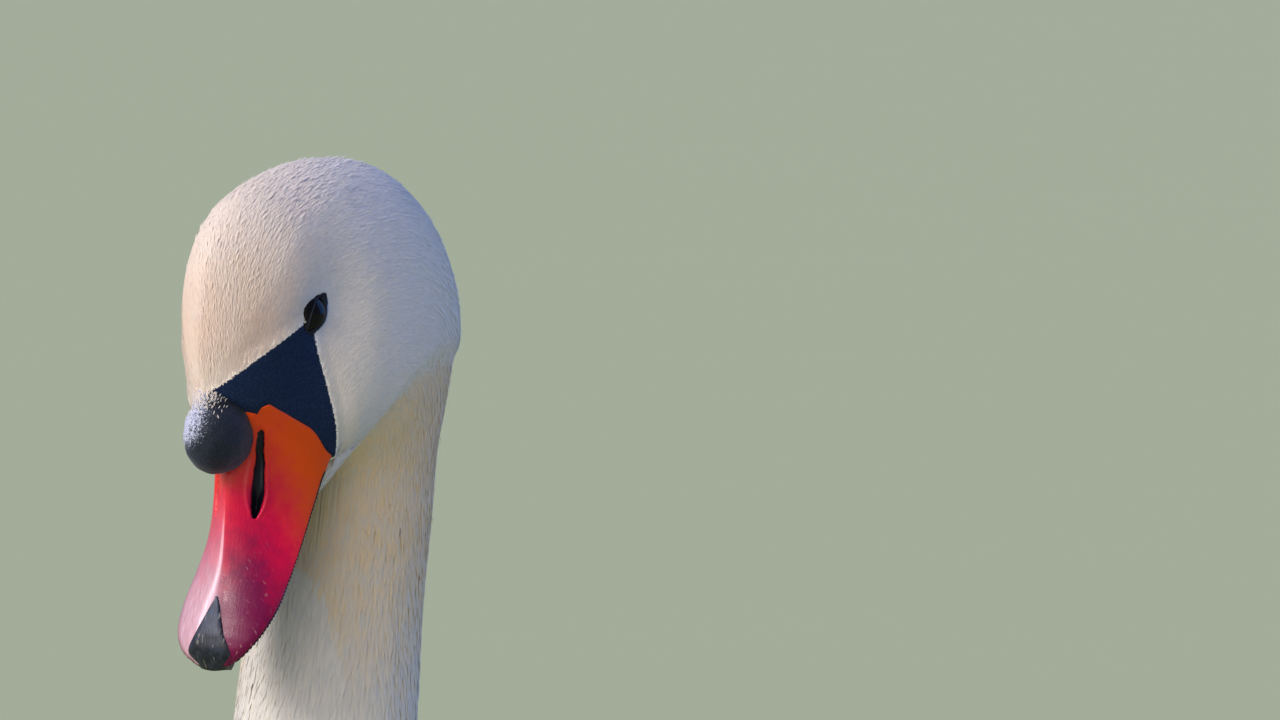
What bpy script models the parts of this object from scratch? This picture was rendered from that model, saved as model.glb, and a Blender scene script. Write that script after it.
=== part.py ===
"""A mute swan standing on both feet with its neck upright and its bill held down in front of the neck.

Metres. The bird faces -Y, its left side is +X, and both soles lie at Z = 0. It is symmetric about the YZ plane.
The sizes below count y from a point over the legs; the last step moves the origin to the middle of the length.
The trunk, neck and head are one tube of smooth sections, cut into lengths by thin planes; every other piece is
placed from that tube.
"""

from math import cos, pi, radians, sin

import bmesh
import bpy
import numpy as np
from mathutils import Matrix

# ---- driving sizes -------------------------------------------------------------------------------------
GAP = 0.0003                  # clearance left between neighbouring pieces
EYE_Y, EYE_Z = -0.235, 1.030  # midway between the eyes
PITCH = radians(62.5)         # the bill points this far below level
THROAT = (-0.0223, -0.0567)   # (ahead, above) of the eyes: where every section of the head meets
EYE_RADIUS, EYE_OUT = 0.0085, 0.0161
BILL_BASE, BILL_TIP = 0.0400, 0.1160
KNOB_AT, KNOB_RADII = (0.0462, 0.0035), (0.0140, 0.0112, 0.0122)  # (forward, up); forward, sideways, up
FOOT_X, FOOT_Y = 0.078, 0.064  # the joint over the middle of each foot
FOOT_TURN = radians(4)         # toes turned out
SHANK_TOP, SHANK_FOOT = 0.150, 0.0163
LEG_LEAN = 0.036               # the ankle stands this far behind the foot joint
WEB = 0.0025
TAIL_TIP = 0.555
TRUNK_RINGS = 18
WING_OFF = 0.0020                # the wing lies this far off the trunk

# Sections of trunk and neck from the rump to under the head: centre y, centre z, lean of the section's upper
# end toward the tail in degrees, reach up, reach down, half width, squareness above and below (2 is an ellipse).
TRUNK_AND_NECK = np.array([
    (0.3350, 0.372, 0, 0.030, 0.040, 0.0640, 2.0, 2.0),
    (0.2500, 0.362, 0, 0.072, 0.100, 0.1010, 2.0, 2.0),
    (0.1300, 0.347, 0, 0.122, 0.144, 0.1290, 2.1, 2.0),
    (0.0000, 0.338, 0, 0.155, 0.153, 0.1410, 2.2, 2.0),
    (-0.1000, 0.345, 10, 0.157, 0.157, 0.1370, 2.1, 2.0),
    (-0.1630, 0.378, 33, 0.128, 0.142, 0.1210, 2.0, 2.0),
    (-0.1950, 0.432, 57, 0.088, 0.112, 0.0960, 2.0, 2.0),
    (-0.2035, 0.495, 76, 0.063, 0.074, 0.0660, 2.0, 2.0),
    (-0.2090, 0.565, 87, 0.048, 0.053, 0.0490, 2.0, 2.0),
    (-0.2130, 0.645, 91, 0.041, 0.042, 0.0410, 2.0, 2.0),
    (-0.2100, 0.735, 93, 0.037, 0.037, 0.0365, 2.0, 2.0),
    (-0.2030, 0.820, 94, 0.034, 0.034, 0.0340, 2.0, 2.0),
    (-0.1945, 0.895, 95, 0.0328, 0.0325, 0.0326, 2.0, 2.0),
    (-0.1868, 0.937, 93, 0.0308, 0.0310, 0.0304, 2.0, 2.0),
])
# Midline of forehead, crown and nape as (ahead, above) of the eyes.
CROWN = np.array([
    (0.0298, -0.0340), (0.0338, -0.0250), (0.0358, -0.0120), (0.0358, 0.0), (0.0334, 0.0135), (0.0272, 0.0265),
    (0.0150, 0.0390), (-0.0020, 0.0472), (-0.0215, 0.0515), (-0.0430, 0.0520), (-0.0630, 0.0482),
    (-0.0815, 0.0374), (-0.0962, 0.0205), (-0.0992, -0.0010), (-0.0915, -0.0280), (-0.0862, -0.0567),
])
# Sections of the head by their angle about the throat, 0 at the nape and 152.5 at the bill: distance from the
# throat to the inner edge and to the widest point, half width, squareness above and below.
HEAD = np.array([
    (0, 0.0032, 0.0340, 0.0302, 2.0, 2.0),
    (22, 0.0032, 0.0375, 0.0320, 2.0, 2.0),
    (45, 0.0032, 0.0430, 0.0358, 2.0, 2.0),
    (68, 0.0032, 0.0450, 0.0373, 2.0, 2.0),
    (90, 0.0032, 0.0400, 0.0362, 1.95, 2.1),
    (110, 0.0032, 0.0330, 0.0330, 1.9, 2.2),
    (130, 0.0032, 0.0250, 0.0265, 1.65, 2.3),
    (152.5, 0.0032, 0.0175, 0.0222, 1.5, 2.4),
])
HEAD_CUTS = (0, 14, 28, 42, 56, 70, 84, 98, 112, 124, 135, 144, 152.5)
# Hollows of the face as (forward, up, reach forward, reach up, share of the width taken off).
HOLLOWS = ((0.000, -0.001, 0.019, 0.013, 0.185), (0.021, -0.009, 0.017, 0.014, 0.08))
# Upper bill by distance forward: height of its edge, rise to the ridge, half width, squareness of the ridge.
UPPER_BILL = np.array([
    (0.0400, -0.0308, 0.0320, 0.0216, 1.4), (0.0480, -0.0325, 0.0280, 0.0203, 1.35),
    (0.0580, -0.0332, 0.0247, 0.0194, 1.3), (0.0700, -0.0335, 0.0198, 0.0188, 1.35),
    (0.0830, -0.0324, 0.0137, 0.0188, 1.6), (0.0950, -0.0306, 0.0092, 0.0186, 1.85),
    (0.1030, -0.0290, 0.0068, 0.0172, 1.95), (0.1090, -0.0283, 0.0053, 0.0146, 2.0),
    (0.1135, -0.0288, 0.0040, 0.0105, 2.0), (0.1160, -0.0298, 0.0020, 0.0062, 2.0),
])
# Lower bill by distance forward: its depth below the edge and half width.
LOWER_BILL = np.array([
    (0.0406, 0.0130, 0.0176), (0.0480, 0.0118, 0.0160), (0.0580, 0.0085, 0.0148), (0.0720, 0.0062, 0.0142),
    (0.0880, 0.0048, 0.0142), (0.1000, 0.0038, 0.0128), (0.1085, 0.0026, 0.0080),
])
# Nail by distance forward: half width.
NAIL_SIZES = np.array([
    (0.0950, 0.0010), (0.0980, 0.0028), (0.1030, 0.0050), (0.1085, 0.0070), (0.1130, 0.0073), (0.1162, 0.0040),
])
# Tail: y, z, half thickness, half width.
TAIL = np.array([
    (0.3353, 0.3650, 0.0260, 0.0610), (0.3650, 0.3615, 0.0175, 0.0670), (0.4100, 0.3560, 0.0115, 0.0690),
    (0.4600, 0.3500, 0.0085, 0.0600), (0.5100, 0.3440, 0.0060, 0.0410), (0.5400, 0.3400, 0.0045, 0.0230),
    (TAIL_TIP, 0.3380, 0.0030, 0.0090),
])
# Folded wing by place along the trunk (y of the section centre): upper and lower edge as angles round the
# section from the spine, and thickness.
WING = np.array([
    (-0.178, 64, 98, 0.003), (-0.160, 49, 110, 0.008), (-0.120, 36, 119, 0.016), (-0.060, 24, 123, 0.022),
    (0.020, 15, 121, 0.026), (0.100, 9, 115, 0.028), (0.180, 6, 107, 0.027), (0.250, 4.5, 98, 0.023),
    (0.300, 4, 90, 0.018), (0.335, 4, 84, 0.0145), (0.390, 4.5, 76, 0.010), (0.440, 6, 70, 0.006),
    (0.470, 12, 60, 0.003),
])
WING_CUTS = ((-0.178, -0.0605), (-0.0595, 0.0995), (0.1005, 0.2600), (0.2606, 0.470))
# What the wing tips lie on behind the trunk: y, z, reach up, half width.
RUMP = np.array([
    (0.3350, 0.3720, 0.0300, 0.0640), (0.3600, 0.3730, 0.0260, 0.0560), (0.3900, 0.3740, 0.0200, 0.0450),
    (0.4200, 0.3750, 0.0140, 0.0330), (0.4500, 0.3760, 0.0090, 0.0200), (0.4700, 0.3765, 0.0060, 0.0110),
])
# Thigh: z, x, y behind the foot joint, half width, half length.
THIGH = np.array([
    (0.3000, 0.068, 0.020, 0.034, 0.046), (0.2600, 0.072, 0.022, 0.044, 0.060), (0.2200, 0.076, 0.026, 0.038, 0.054),
    (0.1900, 0.078, 0.031, 0.027, 0.038), (0.1700, 0.078, 0.035, 0.0175, 0.023), (0.1600, 0.078, 0.0362, 0.0140, 0.0165),
])
# Toes of the left foot: angle out from straight ahead in degrees, length, height at the root.
TOES = ((-27, 0.098, 0.0115), (-1, 0.134, 0.0130), (26, 0.124, 0.0120))
CLAW = 0.016


# ---- curves and sections -------------------------------------------------------------------------------
def smooth(x, at, values):
    """Smooth curve through values at the given places: cubic pieces whose slopes are means of their neighbours'."""
    at, values = np.asarray(at, float), np.asarray(values, float).reshape(len(at), -1)
    step = np.diff(at)[:, None]
    rise = np.diff(values, axis=0) / step
    slope = np.vstack([rise[:1], (rise[:-1] * step[1:] + rise[1:] * step[:-1]) / (step[1:] + step[:-1]), rise[-1:]])
    x = np.atleast_1d(np.asarray(x, float))
    i = np.clip(np.searchsorted(at, x, side="right") - 1, 0, len(at) - 2)
    t = ((x - at[i]) / (at[i + 1] - at[i]))[:, None]
    a, b = (2 * t**3 - 3 * t**2 + 1), (t**3 - 2 * t**2 + t)
    return a * values[i] + b * step[i] * slope[i] + (1 - a) * values[i + 1] + (t**3 - t**2) * step[i] * slope[i + 1]


def from_head(forward, up):
    """y and z of a point given forward along the bill and up from it, measured from the eyes."""
    ahead = forward * cos(PITCH) + up * sin(PITCH)
    return EYE_Y - ahead, EYE_Z - forward * sin(PITCH) + up * cos(PITCH)


def to_head(y, z):
    ahead, above = EYE_Y - y, z - EYE_Z
    return ahead * cos(PITCH) - above * sin(PITCH), ahead * sin(PITCH) + above * cos(PITCH)


def head_sections(angles):
    """Sections of the head, in the columns of TRUNK_AND_NECK, at angles about the throat."""
    angles = np.asarray(angles, float)
    inner, widest, width, above, below = smooth(angles, HEAD[:, 0], HEAD[:, 1:]).T
    off = CROWN - np.array(THROAT)
    round_crown = np.degrees(np.arctan2(off[:, 1], -off[:, 0]))
    order = np.argsort(round_crown)
    outer = smooth(angles, round_crown[order], np.hypot(*off.T)[order])[:, 0]
    y = EYE_Y - THROAT[0] + widest * np.cos(np.radians(angles))
    z = EYE_Z + THROAT[1] + widest * np.sin(np.radians(angles))
    return np.stack([y, z, 90 - angles, outer - widest, widest - inner, width, above, below], axis=1)


TUBE = np.vstack([TRUNK_AND_NECK, head_sections(HEAD_CUTS)])
ALONG = np.concatenate([[0], np.cumsum(np.hypot(*np.diff(TUBE[:, :2], axis=0).T) + 0.0004 * np.abs(np.diff(TUBE[:, 2])))])
TRUNK_Y = slice(0, 6)  # the stretch of the tube where y alone tells the place


def at_y(y):
    """Distance along the tube of the trunk section whose centre is at y."""
    return np.interp(-np.asarray(y, float), -TUBE[TRUNK_Y, 0], ALONG[TRUNK_Y])


def ring(sections, around, outward=0.0):
    """Points of each section at angles round it from its upper end, grown outward. The shape is (sections, angles, 3)."""
    c, s = np.cos(around), np.sin(around)
    y, z, lean, up, down, width, above, below = sections.T[:, :, None]
    power = np.where(c >= 0, 2 / above, 2 / below)
    reach = np.where(c >= 0, up + outward, down + outward) * np.sign(c) * np.abs(c) ** power
    x = (width + outward) * np.sign(s) * np.abs(s) ** power
    lean = np.radians(lean)
    return np.stack([x, y + reach * np.sin(lean), z + reach * np.cos(lean)], axis=-1)


def full_turn(count):
    return np.linspace(0, 2 * pi, count, endpoint=False)[None, :]


def hollowed(points):
    """The face's hollows: x scaled down round each of their centres on the head."""
    forward, up = to_head(points[..., 1], points[..., 2])
    out = points.copy()
    for f, u, reach_f, reach_u, share in HOLLOWS:
        out[..., 0] *= 1 - share * np.exp(-(((forward - f) / reach_f) ** 2) - ((up - u) / reach_u) ** 2)
    return out


# ---- Blender objects -----------------------------------------------------------------------------------
def clear_scene():
    for item in list(bpy.data.objects):
        bpy.data.objects.remove(item, do_unlink=True)


def material(name, colour, roughness, metallic=0.0):
    made = bpy.data.materials.new(name)
    made.use_nodes = True
    shader = made.node_tree.nodes["Principled BSDF"]
    shader.inputs["Base Color"].default_value = (*colour, 1)
    shader.inputs["Roughness"].default_value = roughness
    shader.inputs["Metallic"].default_value = metallic
    made.diffuse_color = (*colour, 1)
    return made


def add(name, vertices, faces, kind):
    """An object from points and faces, smooth-shaded, with a material of its own."""
    mesh = bpy.data.meshes.new(name)
    mesh.from_pydata(np.asarray(vertices, float).reshape(-1, 3).tolist(), [], faces)
    mesh.update()
    if sum((mesh.vertices[f.vertices[0]].co.dot(f.normal) * f.area for f in mesh.polygons)) < 0:
        mesh.flip_normals()
    return linked(name, mesh, kind)


def linked(name, mesh, kind):
    """The mesh as a named object of the swan, its small faces smooth-shaded."""
    for face in mesh.polygons:
        face.use_smooth = len(face.vertices) <= 4
    item = bpy.data.objects.new(name, mesh)
    mesh.materials.append(material(name, *kind))
    SWAN.objects.link(item)
    return item


def loft(name, rings, kind):
    """Closed solid through rings of points, shape (rings, points, 3), with a flat face at each end."""
    rings = np.asarray(rings)
    rows, count, _ = rings.shape
    faces = [
        (r * count + k, r * count + (k + 1) % count, (r + 1) * count + (k + 1) % count, (r + 1) * count + k)
        for r in range(rows - 1)
        for k in range(count)
    ]
    faces += [tuple(range(count))[::-1], tuple(range((rows - 1) * count, rows * count))]
    return add(name, rings, faces, kind)


def as_cutter(item):
    SWAN.objects.unlink(item)
    CUTTERS.objects.link(item)
    item.hide_render = True
    item.display_type = "WIRE"
    return item


def cut(item, cutter):
    change = item.modifiers.new("cut", "BOOLEAN")
    change.operation = "DIFFERENCE"
    change.solver = "EXACT"
    change.object = cutter


def mirrored(item, name):
    """A copy of a finished piece for the other side, with its own mesh and material."""
    mesh = item.data.copy()
    for point in mesh.vertices:
        point.co.x *= -1
    mesh.flip_normals()
    mesh.name = name
    mesh.materials[0] = mesh.materials[0].copy()
    mesh.materials[0].name = name
    other = bpy.data.objects.new(name, mesh)
    SWAN.objects.link(other)
    for change in item.modifiers:
        cut(other, change.object)
    return other


# ---- finishes: colour, roughness -----------------------------------------------------------------------
DOWN = ((0.86, 0.84, 0.80), 0.95)
CREAM = ((0.82, 0.77, 0.68), 0.95)
QUILL = ((0.88, 0.87, 0.84), 0.85)
BLACK_SKIN = ((0.02, 0.022, 0.03), 0.55)
ORANGE = ((0.72, 0.13, 0.05), 0.42)
NAIL = ((0.05, 0.05, 0.055), 0.45)
FOOT = ((0.045, 0.045, 0.048), 0.7)
EYE = ((0.015, 0.010, 0.008), 0.08)
HORN = ((0.03, 0.028, 0.027), 0.4)


# ---- pieces --------------------------------------------------------------------------------------------
def tube_length(name, start, end, spacing, count, kind):
    """One length of the trunk-and-neck tube between two distances along it."""
    places = np.linspace(start, end, max(2, round((end - start) / spacing) + 1))
    return loft(name, ring(smooth(places, ALONG, TUBE), full_turn(count)), kind)


def build_tube():
    """Trunk, three lengths of neck and the head, parted by thin gaps."""
    last = len(TRUNK_AND_NECK) - 1
    cuts = [0.0, ALONG[8], ALONG[10], ALONG[12], ALONG[last] + 0.004]
    loft("trunk", ring(smooth(np.linspace(0, cuts[1] - GAP, TRUNK_RINGS), ALONG, TUBE), full_turn(34)), DOWN)
    tube_length("neck_lower", cuts[1], cuts[2] - GAP, 0.034, 26, DOWN)
    tube_length("neck_middle", cuts[2], cuts[3] - GAP, 0.040, 26, DOWN)
    tube_length("neck_upper", cuts[3], cuts[4] - GAP, 0.016, 26, CREAM)
    places = np.concatenate([[cuts[4]], ALONG[last + 1:]])
    head = loft("head", hollowed(ring(smooth(places, ALONG, TUBE), full_turn(30))), CREAM)
    for side in (-1, 1):
        cut(head, as_cutter(ball(f"socket_{side}", eye_centre(side), [EYE_RADIUS + GAP] * 3, 14, EYE)))


def ball(name, centre, radii, segments, kind, turn=0.0):
    """Ellipsoid with radii across, along and up, then turned about x."""
    shape = bmesh.new()
    place = Matrix.Translation(centre) @ Matrix.Rotation(turn, 4, "X") @ Matrix.Diagonal((*radii, 1))
    bmesh.ops.create_uvsphere(shape, u_segments=segments, v_segments=segments * 2 // 3, radius=1, matrix=place)
    mesh = bpy.data.meshes.new(name)
    shape.to_mesh(mesh)
    shape.free()
    return linked(name, mesh, kind)


def eye_centre(side):
    return (side * EYE_OUT, *from_head(0, 0))


def build_eyes():
    for side, name in ((1, "eye_left"), (-1, "eye_right")):
        ball(name, eye_centre(side), [EYE_RADIUS] * 3, 12, EYE)


def bill_rings(places, low, count=20):
    """Rings of the upper bill, closed along its lower edge, which is raised by low."""
    edge, rise, width, above = smooth(places, UPPER_BILL[:, 0], UPPER_BILL[:, 1:]).T[:, :, None]
    around = np.linspace(-pi / 2, pi / 2, count)[None, :]
    c, s = np.abs(np.cos(around)), np.sin(around)
    up = edge + low + (rise - low) * np.where(c < 1e-9, 0, c) ** (2 / above)
    x = width * np.sign(s) * np.abs(s) ** (2 / above)
    y, z = from_head(np.asarray(places)[:, None] + 0 * up, up)
    return np.stack([x, y, z], axis=-1)


def nail_rings(grow):
    """Rings of the nail, a shield let into the ridge at the tip of the upper bill."""
    places = np.linspace(NAIL_SIZES[0, 0], NAIL_SIZES[-1, 0], 8)
    half = smooth(places, NAIL_SIZES[:, 0], NAIL_SIZES[:, 1])
    edge, rise, width, above = smooth(places, UPPER_BILL[:, 0], UPPER_BILL[:, 1:]).T[:, :, None]
    across = np.linspace(-1, 1, 9)[None, :] * (half + grow)
    ridge = edge + rise * np.clip(1 - np.abs(across / width) ** above, 0, 1) ** (1 / above)
    up = np.concatenate([ridge + 0.0005 + grow, (ridge - 0.0014 - grow)[:, ::-1]], axis=1)
    x = np.concatenate([across, across[:, ::-1]], axis=1)
    forward = places + grow * np.array([-1, 0, 0, 0, 0, 0, 0, 1])
    y, z = from_head(forward[:, None] + 0 * up, up)
    return np.stack([x, y, z], axis=-1)


def build_bill():
    """Upper bill with the nail let into its tip, and the lower bill behind it."""
    upper = loft("bill_upper", bill_rings(np.linspace(BILL_BASE + GAP, BILL_TIP, 14), GAP, 17), ORANGE)
    loft("bill_nail", nail_rings(0.0), NAIL)
    cut(upper, as_cutter(loft("nail_clearance", nail_rings(GAP), NAIL)))
    places = np.linspace(LOWER_BILL[0, 0], LOWER_BILL[-1, 0], 11)
    depth, width = smooth(places, LOWER_BILL[:, 0], LOWER_BILL[:, 1:]).T[:, :, None]
    edge = smooth(places, UPPER_BILL[:, 0], UPPER_BILL[:, 1])
    around = np.linspace(-pi / 2, pi / 2, 11)[None, :]
    y, z = from_head(places[:, None] + 0 * around, edge - GAP - depth * np.abs(np.cos(around)) ** 0.9)
    loft("bill_lower", np.stack([width * np.sin(around) + 0 * y, y, z], axis=-1), BLACK_SKIN)


def build_knob():
    """The knob over the base of the bill, cut clear of the forehead and of the bill's ridge."""
    forward, sideways, up = KNOB_RADII
    knob = ball("knob", (0, *from_head(*KNOB_AT)), (sideways, forward, up), 16, BLACK_SKIN, PITCH)
    rings = hollowed(ring(smooth(ALONG[-1] - np.array([0.030, 0.015, 0]), ALONG, TUBE), full_turn(30), GAP))
    beyond = rings[-1:] - np.array([0, cos(PITCH), sin(PITCH)]) * GAP * 2
    cut(knob, as_cutter(loft("forehead_clearance", np.concatenate([rings, beyond]), DOWN)))
    places = np.linspace(BILL_BASE, 0.075, 9)
    bill = bill_rings(places, -0.002, 22)
    bill[..., 0] *= 1.02
    lift = np.array([0, -sin(PITCH), cos(PITCH)]) * GAP * 1.4
    cut(knob, as_cutter(loft("ridge_clearance", bill + lift, DOWN)))


def wing_form(y):
    """Sections that the folded wing lies on: the trunk's own, then the rump's behind it."""
    y = np.atleast_1d(y)
    trunk = smooth(at_y(np.minimum(y, RUMP[0, 0])), ALONG, TUBE)
    z, up, width = smooth(np.maximum(y, RUMP[0, 0]), RUMP[:, 0], RUMP[:, 1:]).T
    rump = np.stack([y, z, 0 * y, up, up, width, 0 * y + 2, 0 * y + 2], axis=1)
    return np.where((y > RUMP[0, 0])[:, None], rump, trunk)


def wing_length(name, start, end, side):
    """A length of folded wing: a shell lying over the trunk, thick in the middle and thin at its edges."""
    trunk_y = np.interp(np.linspace(0, ALONG[8] - GAP, TRUNK_RINGS), ALONG[TRUNK_Y], TUBE[TRUNK_Y, 0])
    grid = np.concatenate([trunk_y, RUMP[1:-1, 0]])
    y = np.sort(np.concatenate([[start], grid[(grid > start + 0.006) & (grid < end - 0.006)], [end]]))
    top, bottom, thick = smooth(y, WING[:, 0], WING[:, 1:]).T[:, :, None]
    share = np.linspace(0, 1, 11)[None, :]
    around = np.radians(top + (bottom - top) * share)
    sections = wing_form(y)
    outer = grown(sections, around, WING_OFF + 0.0008 + thick * (0.05 + 0.95 * np.sin(pi * share) ** 0.7))
    inner = grown(sections, around[:, ::-1], np.full_like(around, WING_OFF))
    rings = np.concatenate([outer, inner], axis=1)
    rings[..., 0] *= side
    return loft(name, rings if side > 0 else rings[:, ::-1], QUILL)


def grown(sections, around, outward):
    """Points round the sections, each moved off the surface by its own distance."""
    base = np.stack([ring(sections[k:k + 1], around[k:k + 1])[0] for k in range(len(sections))])
    far = np.stack([ring(sections[k:k + 1], around[k:k + 1], 0.01)[0] for k in range(len(sections))])
    away = far - base
    return base + away / np.linalg.norm(away, axis=-1, keepdims=True) * outward[..., None]


def build_wings():
    names = ("shoulder", "coverts", "secondaries", "tip")
    for side, word in ((1, "left"), (-1, "right")):
        for part_name, (start, end) in zip(names, WING_CUTS):
            wing_length(f"wing_{word}_{part_name}", start, end, side)


def build_tail():
    places = np.linspace(TAIL[0, 0], TAIL[-1, 0], 9)
    z, thick, width = smooth(places, TAIL[:, 0], TAIL[:, 1:]).T[:, :, None]
    turn = full_turn(18)
    loft("tail", np.stack([width * np.cos(turn), places[:, None] + 0 * turn, z + thick * np.sin(turn)], axis=-1), QUILL)


def upright_rings(rows, turn):
    """Level ellipses from rows of z, x, y, half width and half length."""
    z, x, y, width, length = np.asarray(rows, float).T[:, :, None]
    return np.stack([x + width * np.cos(turn), y + length * np.sin(turn), z + 0 * turn], axis=-1)


def shank_axis(z):
    """y of the shank's centre at a height."""
    return FOOT_Y + LEG_LEAN * (np.asarray(z) - SHANK_FOOT) / (SHANK_TOP - SHANK_FOOT)


def build_leg():
    """Thigh, shank, hind toe and foot of the left leg, copied to the right."""
    rows = THIGH.copy()
    rows[:, 2] += FOOT_Y
    grown_trunk = ring(smooth(np.linspace(ALONG[0], ALONG[5], 16), ALONG, TUBE), full_turn(36), 0.0012)
    clearance = as_cutter(loft("belly_clearance", grown_trunk, DOWN))
    thigh = loft("thigh_left", upright_rings(rows, full_turn(18)), DOWN)
    cut(thigh, clearance)
    z = np.array([0.1595, 0.152, 0.142, 0.125, 0.080, 0.045, 0.028, SHANK_FOOT])
    width = np.array([0.0110, 0.0128, 0.0112, 0.0078, 0.0070, 0.0080, 0.0105, 0.0095])
    length = np.array([0.0130, 0.0150, 0.0130, 0.0098, 0.0088, 0.0095, 0.0110, 0.0095])
    shank = loft("shank_left", upright_rings(np.stack([z, 0 * z + FOOT_X, shank_axis(z), width, length], 1), full_turn(12)), FOOT)
    toe = np.stack([
        np.stack([FOOT_X + 0.0042 * k * np.cos(full_turn(8)[0]), 0 * full_turn(8)[0] + FOOT_Y + 0.0170 + along,
                  0.0270 - drop + 0.0048 * k * np.sin(full_turn(8)[0])], axis=-1)
        for along, drop, k in ((0, 0, 0.9), (0.006, 0.002, 1.0), (0.013, 0.006, 0.9), (0.0185, 0.0105, 0.65))])
    hind = loft("hind_toe_left", toe, FOOT)
    for piece in (thigh, shank, hind):
        mirrored(piece, piece.name.replace("left", "right"))


def outline(angle):
    """Reach of the left foot from its joint in a direction, degrees out from straight ahead: toes, the scalloped
    edges of the two webs between them, and the heel."""
    angle = np.asarray(angle, float)
    heel = 0.015
    turns = np.array([-180, -62, -38, -27, -1, 26, 37, 60, 180.0])
    reach = np.array([heel, heel, 0.062, 0.098, 0.134, 0.124, 0.074, heel, heel])
    base = np.interp(angle, turns, reach)
    for (a, *_), (b, *_) in zip(TOES, TOES[1:]):
        share = np.clip((angle - a) / (b - a), 0, 1)
        base = base - 0.017 * np.sin(pi * share)
    return base


def foot_height(x, y):
    """Height of the left foot's upper side, x out and y ahead of its joint: web, three toes and the joint."""
    far = np.hypot(x, y)
    height = np.full_like(far, WEB)
    for degrees, length, root in TOES:
        a = radians(degrees)
        along, aside = y * cos(a) + x * sin(a), x * cos(a) - y * sin(a)
        tall = root - 0.0045 * np.clip(along / length, 0, 1) - WEB
        half = 0.0072 - 0.0022 * np.clip(along / length, 0, 1)
        height = np.maximum(height, WEB + tall * np.sqrt(np.clip(1 - (aside / half) ** 2, 0, 1)) * (along > -0.006))
    return np.maximum(height, np.where(far < 0.013, SHANK_FOOT - GAP, 0))


def foot_angles():
    """Directions for the foot's grid, close together over the toes."""
    around = [a + s for a, *_ in TOES for s in (-4.4, -2.4, 0, 2.4, 4.4)]
    return np.radians(sorted(around + [-180, -140, -100, -70, -52, -40, -34, -18, -10, 9, 17, 34, 41, 52, 70, 100, 140]))


def build_foot():
    """Webbed foot with a flat sole, as rings of a height field about its joint, and its claws."""
    angle = foot_angles()
    reach = outline(np.degrees(angle))
    shares = np.array([0.10, 0.20, 0.38, 0.58, 0.78, 0.92, 1.0])[:, None]
    x, y = shares * reach * np.sin(angle), shares * reach * np.cos(angle)
    top = foot_height(x, y)
    top[0] = SHANK_FOOT - GAP
    top[-1] = np.maximum(top[-1] * 0.72, WEB * 0.8)
    grid = np.stack([*to_world(x, y), top], axis=-1)
    sole = np.stack([*to_world(x[-1], y[-1]), 0 * x[-1]], axis=-1)
    foot = loft("foot_left", np.concatenate([grid, sole[None]]), FOOT)
    mirrored(foot, "foot_right")
    for word, (degrees, length, root) in zip(("inner", "middle", "outer"), TOES):
        share = np.linspace(0, 1, 5)
        a = radians(degrees)
        ahead = length + GAP * 2 + CLAW * share
        thick = 0.0036 * (1 - 0.82 * share**1.6)
        height = 0.0046 - 0.0022 * share**2
        turn = full_turn(8)
        across = thick[:, None] * 0.8 * np.cos(turn)
        along = ahead[:, None] + 0 * turn
        points = np.stack([*to_world(along * sin(a) + across * cos(a), along * cos(a) - across * sin(a)),
                           height[:, None] + thick[:, None] * np.sin(turn)], axis=-1)
        mirrored(loft(f"claw_left_{word}", points, HORN), f"claw_right_{word}")
    share = np.linspace(0, 1, 4)[:, None]
    turn = full_turn(8)
    thick = 0.0026 * (1 - 0.75 * share)
    points = np.stack([FOOT_X + thick * np.cos(turn), FOOT_Y + 0.0170 + 0.0195 + 0.007 * share + 0 * turn,
                       0.0150 - 0.006 * share + thick * np.sin(turn)], axis=-1)
    mirrored(loft("claw_left_hind", points, HORN), "claw_right_hind")


def to_world(out, ahead):
    """x and y of a place on the left foot, given out from and ahead of its joint."""
    return (FOOT_X + out * cos(FOOT_TURN) + ahead * sin(FOOT_TURN), FOOT_Y - ahead * cos(FOOT_TURN) + out * sin(FOOT_TURN))


def centre_over_origin():
    """Parents every piece to one empty, which puts the origin midway between breast and tail tip."""
    breast = min(point.co.y for point in bpy.data.objects["trunk"].data.vertices)
    stand = bpy.data.objects.new("stand", None)
    stand.location.y = -(breast + TAIL_TIP) / 2
    SWAN.objects.link(stand)
    for item in [*SWAN.objects, *CUTTERS.objects]:
        if item != stand:
            item.parent = stand


clear_scene()
SWAN = bpy.data.collections.new("mute_swan")
CUTTERS = bpy.data.collections.new("cutters")
CUTTERS.hide_render = True
for group in (SWAN, CUTTERS):
    bpy.context.scene.collection.children.link(group)

build_tube()
build_eyes()
build_bill()
build_knob()
build_wings()
build_tail()
build_leg()
build_foot()
centre_over_origin()
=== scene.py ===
import logging
from dataclasses import dataclass, field
from enum import Enum
from math import cos, pi, radians, sin
from typing import Callable

import bpy
import numpy as np
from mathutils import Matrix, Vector


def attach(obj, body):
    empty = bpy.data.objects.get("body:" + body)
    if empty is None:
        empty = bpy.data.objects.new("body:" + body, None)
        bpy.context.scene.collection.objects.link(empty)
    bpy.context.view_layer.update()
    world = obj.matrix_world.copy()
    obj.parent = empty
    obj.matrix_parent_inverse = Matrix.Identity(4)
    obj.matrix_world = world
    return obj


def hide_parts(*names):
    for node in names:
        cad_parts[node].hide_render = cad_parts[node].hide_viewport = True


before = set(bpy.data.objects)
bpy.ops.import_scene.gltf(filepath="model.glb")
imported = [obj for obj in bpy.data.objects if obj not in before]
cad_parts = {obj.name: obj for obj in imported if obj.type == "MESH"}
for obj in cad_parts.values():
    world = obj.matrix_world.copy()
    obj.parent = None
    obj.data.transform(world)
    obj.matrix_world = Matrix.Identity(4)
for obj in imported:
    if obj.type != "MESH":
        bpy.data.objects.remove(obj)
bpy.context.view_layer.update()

LOG = logging.getLogger("mute_swan")
Array = np.ndarray
Triple = tuple[float, float, float]

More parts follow.
